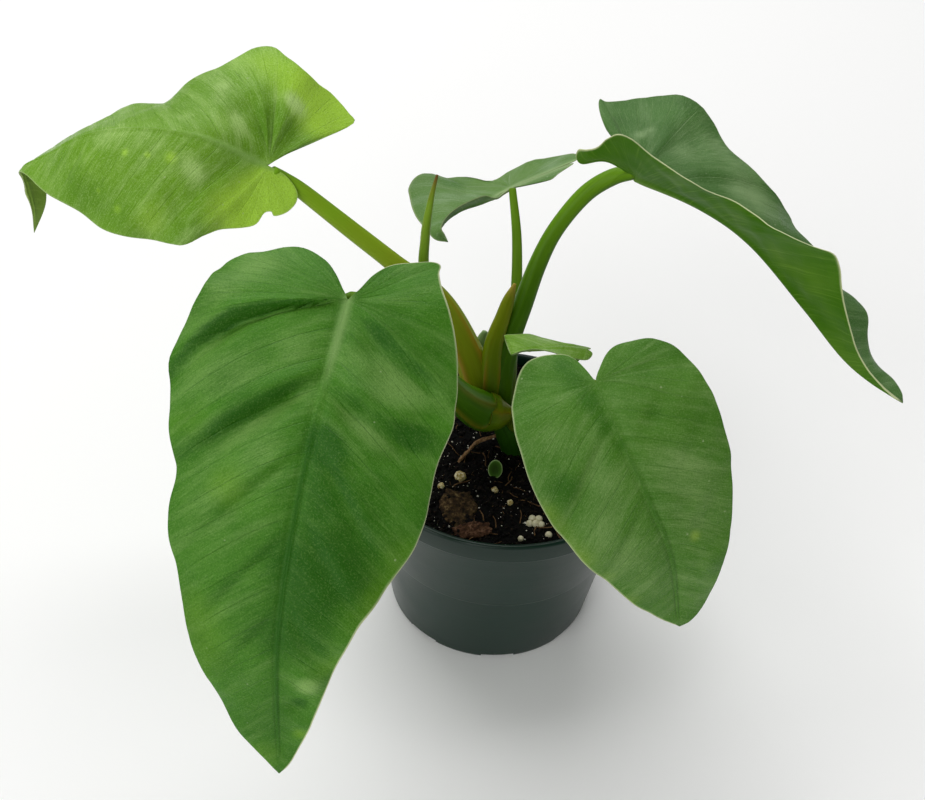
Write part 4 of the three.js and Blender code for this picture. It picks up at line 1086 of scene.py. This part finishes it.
class PLANT_OT_pot(bpy.types.Operator):
    """The moulded nursery pot: a turned wall with drain channels cut under its base"""

    bl_idname = "plant.pot"
    bl_label = "Pot"

    def execute(self, context):
        settings = context.scene.plant_pot
        sides = settings.sides
        plastic = moulded_polypropylene("moulded_polypropylene", tuple(settings.body),
                                        tuple(settings.worn))
        bottom, *wall, top = self.rounded(POT_WALL)
        points = [(0.0, 0.0, bottom[1])]
        for radius, height in wall:
            points += circle(radius, height, sides)
        points.append((0.0, 0.0, top[1]))
        faces = fan_faces(0, 1, sides, flip=True)
        starts = range(1, len(points) - 1, sides)
        for start, following in zip(starts, starts[1:]):
            faces += ring_faces(start, following, sides, flip=True)
        faces += fan_faces(len(points) - 1, starts[-1], sides)
        piece = build_mesh("nursery_pot", points, faces, [])
        self.cut_channels(piece, plastic, settings)
        piece.data.shade_smooth()
        piece.data.set_sharp_from_angle(angle=math.radians(CRISP))
        finish(piece, "pot")
        return {"FINISHED"}

    @staticmethod
    def rounded(wall):
        """The wall's line with each of its corners eased by a small radius."""
        eased = [wall[0]]
        for before, corner, after in zip(wall, wall[1:], wall[2:]):
            here = np.array(corner, float)
            ways = [np.array(other) - here for other in (before, after)]
            cut = min(CORNER, *(0.3 * np.linalg.norm(way) for way in ways))
            start, stop = (here + unit(way) * cut for way in ways)
            eased += [tuple(start), tuple((start + 2 * here + stop) / 4), tuple(stop)]
        return [*eased, wall[-1]]

    @staticmethod
    def cut_channels(piece, plastic, settings):
        """Cuts drain channels and holes, spaced evenly round the base, out of the pot."""
        tree, put, inputs = node_group("drain_channels", Channels=8, Width=0.018, Depth=0.0024,
                                       Start=0.038, HoleRadius=0.005, HolePlace=0.047)
        length, first_turn = 0.026, 0.11 - math.pi / 2
        size = put("vector", length, inputs["Width"],
                   put("MULTIPLY", inputs["Depth"], 2.0))
        channel = put("GeometryNodeTransform", {
            "Geometry": put("GeometryNodeMeshCube", size),
            "Translation": put("vector", put("ADD", inputs["Start"], length / 2))})
        drill = put("GeometryNodeMeshCylinder",
                    {"Vertices": 32, "Radius": inputs["HoleRadius"], "Depth": 0.03})
        hole = put("GeometryNodeTransform", {
            "Geometry": drill, "Translation": put("vector", inputs["HolePlace"])})
        body = inputs["Geometry"]
        for shape in (channel, hole):
            spots = put("GeometryNodeMeshLine",
                        {"Count": inputs["Channels"], "Offset": (0, 0, 0)})
            angle = put("MULTIPLY_ADD", put("GeometryNodeInputIndex"),
                        put("DIVIDE", 2 * math.pi, inputs["Channels"]), first_turn)
            placed = put("GeometryNodeInstanceOnPoints", {
                "Points": spots, "Instance": shape,
                "Rotation": put("vector", 0.0, 0.0, angle)})
            cutter = put("GeometryNodeRealizeInstances", placed)
            body = put("GeometryNodeMeshBoolean", {"Mesh 1": body, "Mesh 2": cutter},
                       operation="DIFFERENCE", solver="EXACT")
        grown(piece, tree, body, plastic, Channels=settings.channels,
              Width=settings.channel_width)


class PLANT_OT_soil(bpy.types.Operator):
    """Peat that fills the pot, with crumbs, white specks and fibres lying on it"""

    bl_idname = "plant.soil"
    bl_label = "Soil"

    def execute(self, context):
        settings = context.scene.plant_soil
        # Damp peat is dull and all but black, and its crumbs show a little of their brown.
        # Crushed perlite is chalky white, and dry coconut fibre a light brown.
        peat = rough_matter("damp_peat", 2.0, 1.6, 0.95, (0.35, "#010101"), (0.6, "#060504"),
                            (0.75, "#120d09"), (0.9, "#3d2d20"))
        crumb = rough_matter("peat_crumb", 2.2, 0.5, 0.9, (0.4, "#030202"), (0.55, "#0c0806"),
                             (0.68, "#2e2117"), (0.8, "#6a5038"))
        perlite = rough_matter("crushed_perlite", 0.8, 0.3, 0.9, (0.3, "#a39c88"),
                               (0.7, "#eeeae0"))
        fibre = rough_matter("coconut_fibre", 3.0, 0.2, 0.85, (0.3, "#2c1d12"), (0.7, "#7a5c3c"))
        finish(self.fill(peat), "soil")
        size = settings.crumb_size
        for kind, material, density, width, seed in (
                ("crumb", crumb, settings.crumbs, size, 1),
                ("speck", perlite, settings.specks, size * 0.45, 2),
                ("fibre", fibre, settings.twigs, size, 3)):
            points, faces = self.surface(sides=120, rings=30, reach=70.5)
            piece = build_mesh(f"soil_{kind}s", points, faces, [])
            tree, shape = self.scatter(kind)
            grown(piece, tree, shape, material, Density=density, Size=width,
                  Seed=settings.seed + seed)
            finish(piece, slot="grain" if kind == "speck" else "soil")
        return {"FINISHED"}

    @staticmethod
    def surface(sides, rings, reach):
        """Points and faces of the rough soil surface, ring by ring, from the middle outwards:
        mounds 6 mm wide and lumps 2 mm wide, less of both at the pot's wall."""
        points = [(0.0, 0.0, soil_height(0.0, 0.0))]
        for i in range(1, rings + 1):
            radius = reach * i / rings
            fade = min(1.0, (reach - radius) / 3 + 0.15)
            for x, y, _ in circle(radius, 0.0, sides, 0.5 * (i % 2)):
                place = Vector((x, y, 0))
                lump = noise.fractal(place * 0.16, 1.0, 2.0, 4) * 1.1
                lump += abs(noise.noise(place * 0.6)) * 0.9 - 0.2
                points.append((x, y, soil_height(x, y) + fade * lump))
        faces = fan_faces(0, 1, sides)
        for i in range(rings - 1):
            for a, b, c, d in ring_faces(1 + i * sides, 1 + (i + 1) * sides, sides):
                faces += [[a, b, c], [a, c, d]] if i % 2 else [[a, b, d], [d, b, c]]
        return points, faces

    def fill(self, peat):
        """The whole fill of the pot, closed below, with a fine rough surface."""
        sides = 180
        points, faces = self.surface(sides, rings=60, reach=SOIL_WALL[0][0])
        for radius, height in SOIL_WALL:
            faces += ring_faces(len(points) - sides, len(points), sides)
            points += circle(radius, height, sides)
        faces += fan_faces(len(points), len(points) - sides, sides, flip=True)
        return build_mesh("potting_soil", [*points, (0, 0, height)], faces, [peat])

    @staticmethod
    def scatter(kind):
        """Scatters one kind of small matter over the soil, each piece turned its own way."""
        tree, put, inputs = node_group(f"soil_{kind}s_tree", Density=10000.0, Size=0.001, Seed=1)
        spread = put("GeometryNodeDistributePointsOnFaces", {
            "Mesh": inputs["Geometry"], "Density": inputs["Density"], "Seed": inputs["Seed"]})
        full, tip = 6.28, 0.35      # a full turn, and how far a fibre tips up, in radians
        turn_from, turn_to = (0, 0, 0), (full, full, full)
        if kind == "fibre":
            turn_from, turn_to = (-tip, -tip, 0), (tip, tip, full)
            line = put("GeometryNodeCurvePrimitiveBezierSegment", {
                "Resolution": 5, "Start": (-3.2, 0, 0), "Start Handle": (-1, 1.2, 0.5),
                "End Handle": (1, -0.9, 0.6), "End": (3.2, 0.3, 0)})
            ring = put("GeometryNodeCurvePrimitiveCircle", {"Resolution": 4, "Radius": 0.17})
            shape = put("GeometryNodeCurveToMesh", {
                "Curve": line, "Profile Curve": ring, "Fill Caps": True})
        else:
            stone = put("GeometryNodeMeshIcoSphere", {"Radius": 0.7, "Subdivisions": 1})
            lumps = put("ShaderNodeTexNoise", {
                "Vector": put("GeometryNodeInputPosition"), "Scale": 1.6}, out="Color")
            moved = put("ShaderNodeVectorMath", lumps, (0.5, 0.5, 0.5),
                        operation="SUBTRACT")
            dented = put("GeometryNodeSetPosition", {"Geometry": stone, "Offset": moved})
            flat = (1.25, 0.95, 0.7) if kind == "crumb" else (1, 0.9, 0.8)
            shape = put("GeometryNodeTransform", {"Geometry": dented, "Scale": flat})
        turn = put("FunctionNodeRandomValue", turn_from, turn_to, data_type="FLOAT_VECTOR")
        # most of them small, a few four times as wide
        luck = put("FunctionNodeRandomValue", {"Seed": 9}, out=1, data_type="FLOAT")
        wide = put("MULTIPLY_ADD", put("POWER", luck, 2.6), 1.7, 0.45)
        return tree, put("GeometryNodeInstanceOnPoints", {
            "Points": spread, "Instance": shape, "Rotation": turn,
            "Scale": put("MULTIPLY", wide, inputs["Size"])})


class PLANT_OT_stalks(bpy.types.Operator):
    """The short stem and the leaf stalks that spring from it"""

    bl_idname = "plant.stalks"
    bl_label = "Stem and stalks"

    def execute(self, context):
        # Each skin is smooth and a little waxy, in its own greens: the back left stalk is
        # olive, the foot of the broad one and the sheath are yellower, the stem is darkest.
        stalk = green_stalk("smooth_stalk", "#4c5c08", "#4a6c08", "#628818", "#2c4c04")
        skins = {
            "back_right": green_stalk("tall_stalk_skin", "#587e00", "#3c6602", "#648e16",
                                      "#2e5002"),
            "back_left": green_stalk("olive_stalk_skin", "#88920c", "#84941c", "#74a41c",
                                     "#66740c", 0.45),
            "front_left": green_stalk("broad_stalk_skin", "#626e00", "#3c6800", "#5f8818",
                                      "#204000", 0.12)}
        dry = green_stalk("sheath_skin", "#668600", "#748208", "#a08a38", "#6a6408", 0.85)
        stem = green_stalk("crown_skin", "#1c3602", "#204604", "#2a5606", "#0f2202")
        make_tube("crown", *CROWN_STEM, stem, ["crown_stem"], 40, 40)
        for name, (path, radii) in STALKS.items():
            piece = make_tube(f"leafstalk_{name}", path, radii, skins.get(name, stalk), None,
                              60 if name == "low" else 110, 40, self.clasping(name),
                              CLASPING.get(name, 0.0))
            if name == "back_right":
                wing = make_tube("wing", *SHEATH, dry, None, 60, 32, self.clasping("sheath"),
                                 CLASPING["sheath"])
                piece = joined(piece.name, [piece, wing])
            finish(piece, f"stalk_{name}")
        return {"FINISHED"}

    @staticmethod
    def clasping(name):
        """How a stalk's section departs from round: a shallow channel along its upper side,
        and at its foot two thin edges where it clasps the stem."""
        proud = 0.10 if name in CLASPING else 0

        def section(share, angle):
            top = np.minimum(angle, 2 * np.pi - angle)
            channel = 0.10 * hump(top, 0.5) * smooth(share, 0.02, 0.15)
            edge = hump(top - CLASP_AT, 0.14) * (1 - smooth(share, 0.22, 0.5))
            return 1 - channel + proud * edge + 0.015 * np.sin(3 * angle + 9 * share)

        return section


class PLANT_OT_blades(bpy.types.Operator):
    """The six leaf blades, each with its folds, side veins and cream edge"""

    bl_idname = "plant.blades"
    bl_label = "Leaf blades"

    def execute(self, context):
        settings = context.scene.plant_leaf
        margin = tuple(settings.margin)
        # Each upper face is silky, greyish and waxy in places, with painted highlights and painted
        # shade: over deep green when it is mature, light green when it is young, and blue green on
        # the two leaves at the back, whose greyer tones are partly painted sheen of a leaf seen at
        # a low angle. The undersides are paler and dull.
        mature = waxed_leaf("waxed_mature_leaf", margin, "#1f5602", "#467e1c", "#7fa656",
                            "#6c9a1c", "#8caf66")
        front = waxed_leaf("waxed_front_leaf", margin, "#2c6006", "#4c7a24", "#86a462",
                           "#8aa838", "#8cac68")
        young = waxed_leaf("waxed_young_leaf", margin, "#548412", "#70a022", "#bcdc88",
                           "#aedc44", "#8cb45c", 0.34, None, 0.45)
        # the two back leaves: their own blue green, made greyer in part by painted sheen of leaves
        # seen at a low angle
        dull = waxed_leaf("waxed_shaded_leaf", margin, "#4a7436", "#62863e", "#98b08a",
                          "#849e4a", "#a4bc86", 0.45, "#b4c8a0")
        blue = waxed_leaf("waxed_bluish_leaf", margin, "#365e22", "#4a7432", "#86a26e",
                          "#7c9a46", "#86a66c", 0.42, "#90ac74")
        mature_back = leaf_underside("mature_leaf_back", "#386602", "#769a3a", "#cfd6a0")
        young_back = leaf_underside("young_leaf_back", "#6b8a30", "#94ad52", "#d8dfa8")
        low_back = leaf_underside("small_leaf_back", "#527a14", "#7c9c38", "#c0cc80")
        rim = leaf_underside("cut_leaf_edge", "#3c6418", "#557a30", margin)
        looks = {
            "front_left": (mature, mature_back), "front_right": (front, mature_back),
            "back_left": (young, young_back), "back_centre": (dull, mature_back),
            "back_right": (blue, mature_back), "low": (young, low_back),
        }
        for name, (upper, back) in looks.items():
            make_blade(name, upper, back, rim, settings.thickness / MM, settings.waves)
        return {"FINISHED"}


class PLANT_OT_shoots(bpy.types.Operator):
    """The rolled shoot, the dry sheath, the root and the seedling"""

    bl_idname = "plant.shoots"
    bl_label = "Shoot, sheath, root and seedling"

    def execute(self, context):
        # The rolled leaf browns at its tip, the old sheath is papery and greyish, the root's
        # bark is pale and corky, and the seedling has a light edge.
        rolled = green_stalk("rolled_leaf_skin", "#6a8f1e", "#7a9a26", "#6f4a20", "#4f7414", 0.86)
        papery = green_stalk("old_sheath_skin", "#68864e", "#7c9c68", "#8aa66e", "#5a7448")
        bark = rough_matter("root_bark", 1.6, 0.5, 0.85, (0.25, "#4a3422"), (0.5, "#80603f"),
                            (0.8, "#b8977a"))
        sprout = green_stalk("seedling_skin", "#304c14", "#4a7424", "#b0c88a", "#3a5a24", 0.6)

        def rolled_section(share, angle):
            seam = (angle - 5.5 * share - 0.6) % (2 * np.pi)
            return 1 + 0.12 * (seam / (2 * np.pi)) - 0.06

        def knobbly(share, angle):
            return 1 + 0.16 * np.sin(31 * share + 2 * angle) * np.sin(17 * share + 1.0)

        make_tube("rolled_leaf", *SHOOT, rolled, ["rolled_shoot"], 90, 36, rolled_section)
        make_tube("dry_sheath", *OLD_SHEATH, papery, ["old_sheath"], 50, 32)
        make_tube("thick_root", *ROOT, bark, ["surface_root"], 60, 18, knobbly)
        ball_points, faces = ball()
        width, thickness, height = SEEDLING["size"]
        turn = Matrix.Rotation(math.radians(SEEDLING["tip"]), 3, "X")
        points = []
        for x, y, z in ball_points:
            # a flattened ball whose edges turn to the front
            cup = (x * x + 0.6 * z * z) * thickness
            spot = Vector((x * width, y * thickness * 0.6 - cup + 0.5, z * height))
            points.append(turn @ spot + Vector(SEEDLING["at"]))
        piece = build_mesh("seedling_leaf", points, faces, [sprout])
        rise = np.array([math.hypot(x, z) ** 3 for x, _, z in ball_points])
        under = np.full(len(points), 0.2)
        store(piece.data, rise=rise, under=under)
        store_map(piece.data, "skin", rise * 10, under * 5)
        finish(piece, "seedling")
        return {"FINISHED"}


class PLANT_OT_litter(bpy.types.Operator):
    """Bark chips, fertiliser grains and perlite that lie on the soil"""

    bl_idname = "plant.litter"
    bl_label = "Chips and grains"

    def execute(self, context):
        # Weathered bark is layered, grey brown or reddish. Fertiliser wears a smooth cream
        # resin, and perlite is a chalky, pitted glass with peat in its hollows.
        bark = rough_matter("weathered_bark", 2.3, 1.6, 0.9, (0.34, "#0c0804"), (0.48, "#2e2112"),
                            (0.6, "#4e3c24"), (0.76, "#94805c"))
        red = rough_matter("reddish_bark", 2.2, 1.4, 0.9, (0.34, "#180d07"), (0.52, "#452c1c"),
                           (0.74, "#846450"))
        coated_grain = rough_matter("coated_fertiliser", 1.6, 0.15, 0.55, (0.3, "#b4aa86"),
                                    (0.7, "#ddd7bd"))
        perlite = rough_matter("perlite", 1.5, 0.5, 0.9, (0.34, "#7a5c1c"), (0.48, "#b8a468"),
                               (0.66, "#e8e0c4"))
        self.chip("bark_chip_long", bark)
        self.chip("bark_chip_flat", red)
        cluster = [self.grain(f"prill_{i}", place, coated_grain, 0.05)
                   for i, place in enumerate(PRILLS)]
        finish(joined("fertiliser_cluster", cluster), "prill_cluster")
        for name, place in LOOSE_GRAINS.items():
            look = (coated_grain, 0.05) if name.startswith("prill") else (perlite, 0.22)
            finish(self.grain(f"loose_{name}", place, *look), name)
        return {"FINISHED"}

    @staticmethod
    def chip(name, material):
        """A broken chip of bark: thicker in its middle, with a splintered surface."""
        chip = CHIPS[name]
        corners = np.array(chip["outline"] + chip["outline"][:1], float)
        places = np.linspace(0, len(corners) - 1, 84, endpoint=False)
        ring = np.stack([np.interp(places, range(len(corners)), line) for line in corners.T], 1)
        middle = ring.mean(0)
        jags = [noise.fractal(Vector((p[0] * 0.5, p[1] * 0.5, 7.0)), 0.8, 2.1, 4) for p in ring]
        reach = (ring - middle) * (1 + 0.13 * np.array(jags)[:, None])
        layers = 14
        points = []
        for side in (1, -1):
            for share in np.arange(layers + 1) / layers:
                edge = math.sqrt(max(0.0, 1 - share ** 4)) * 0.8 + 0.2
                for x, y in middle + reach * share:
                    spot = Vector((x * 0.35, y * 0.9, side * 3.0))
                    rough = noise.fractal(spot * 1.6, 0.7, 2.1, 5) * 0.8
                    points.append((x, y, side * chip["thickness"] / 2 * edge
                                   + 0.7 * rough * (1 - 0.5 * share)))
        count = len(ring)
        below = (layers + 1) * count
        faces = []
        for a in range(0, layers * count, count):
            for upper in ring_faces(a, a + count, count):
                faces += [upper, [below + corner for corner in upper[::-1]]]
        faces += ring_faces(layers * count, below + layers * count, count)
        turn = Matrix.Identity(3)
        for angle, axis in ((chip["turn"], "Z"), (chip["tip"][1], "Y"), (chip["tip"][0], "X")):
            turn = turn @ Matrix.Rotation(math.radians(angle), 3, axis)
        placed = [turn @ Vector(point) + Vector(chip["at"]) for point in points]
        piece = build_mesh(f"{name}_bark", placed, faces, [material])
        shape = bmesh.new()
        shape.from_mesh(piece.data)
        bmesh.ops.remove_doubles(shape, verts=shape.verts, dist=1e-6)
        bmesh.ops.recalc_face_normals(shape, faces=shape.faces)
        shape.to_mesh(piece.data)
        shape.free()
        finish(piece, name)

    @staticmethod
    def grain(name, place, material, roughness):
        """A grain, round if it is coated fertiliser and craggy if it is perlite."""
        x, y, radius = place
        # its lower quarter lies in the peat
        centre = Vector((x, y, soil_height(x, y) + radius * 0.45))
        ball_points, faces = ball()
        points = []
        for point in ball_points:
            crag = noise.fractal(point * 1.4 + Vector((x, y, 0)), 1.0, 2.0, 4) - 0.1
            points.append(point * radius * (1 + roughness * crag) + centre)
        return build_mesh(name, points, faces, [material])


OPERATORS = [PLANT_OT_stage, PLANT_OT_pot, PLANT_OT_soil, PLANT_OT_stalks, PLANT_OT_blades,
             PLANT_OT_shoots, PLANT_OT_litter]


class PLANT_PT_sidebar(bpy.types.Panel):
    """Lists the pieces and what may be changed before each is built"""

    bl_label = "Potted philodendron"
    bl_idname = "PLANT_PT_sidebar"
    bl_space_type = "VIEW_3D"
    bl_region_type = "UI"
    bl_category = "Plant"

    def draw(self, context):
        for name, group in SETTINGS.items():
            column = self.layout.column(align=True)
            for item in group.__annotations__:
                column.prop(getattr(context.scene, name), item)
        for operator in OPERATORS:
            self.layout.operator(operator.bl_idname)


def register():
    """Registers the settings, the operators and the panel."""
    for group in (*SETTINGS.values(), *OPERATORS, PLANT_PT_sidebar):
        bpy.utils.register_class(group)
    for name, group in SETTINGS.items():
        setattr(bpy.types.Scene, name, bpy.props.PointerProperty(type=group))


def unregister():
    """Takes them away again."""
    for name in SETTINGS:
        delattr(bpy.types.Scene, name)
    for group in (PLANT_PT_sidebar, *OPERATORS, *SETTINGS.values()):
        bpy.utils.unregister_class(group)


def main():
    """Builds the whole plant."""
    register()
    bpy.ops.plant.stage()
    bpy.ops.plant.pot()
    bpy.ops.plant.soil()
    bpy.ops.plant.stalks()
    bpy.ops.plant.blades()
    bpy.ops.plant.shoots()
    bpy.ops.plant.litter()
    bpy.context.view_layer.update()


if __name__ == "__main__":
    main()
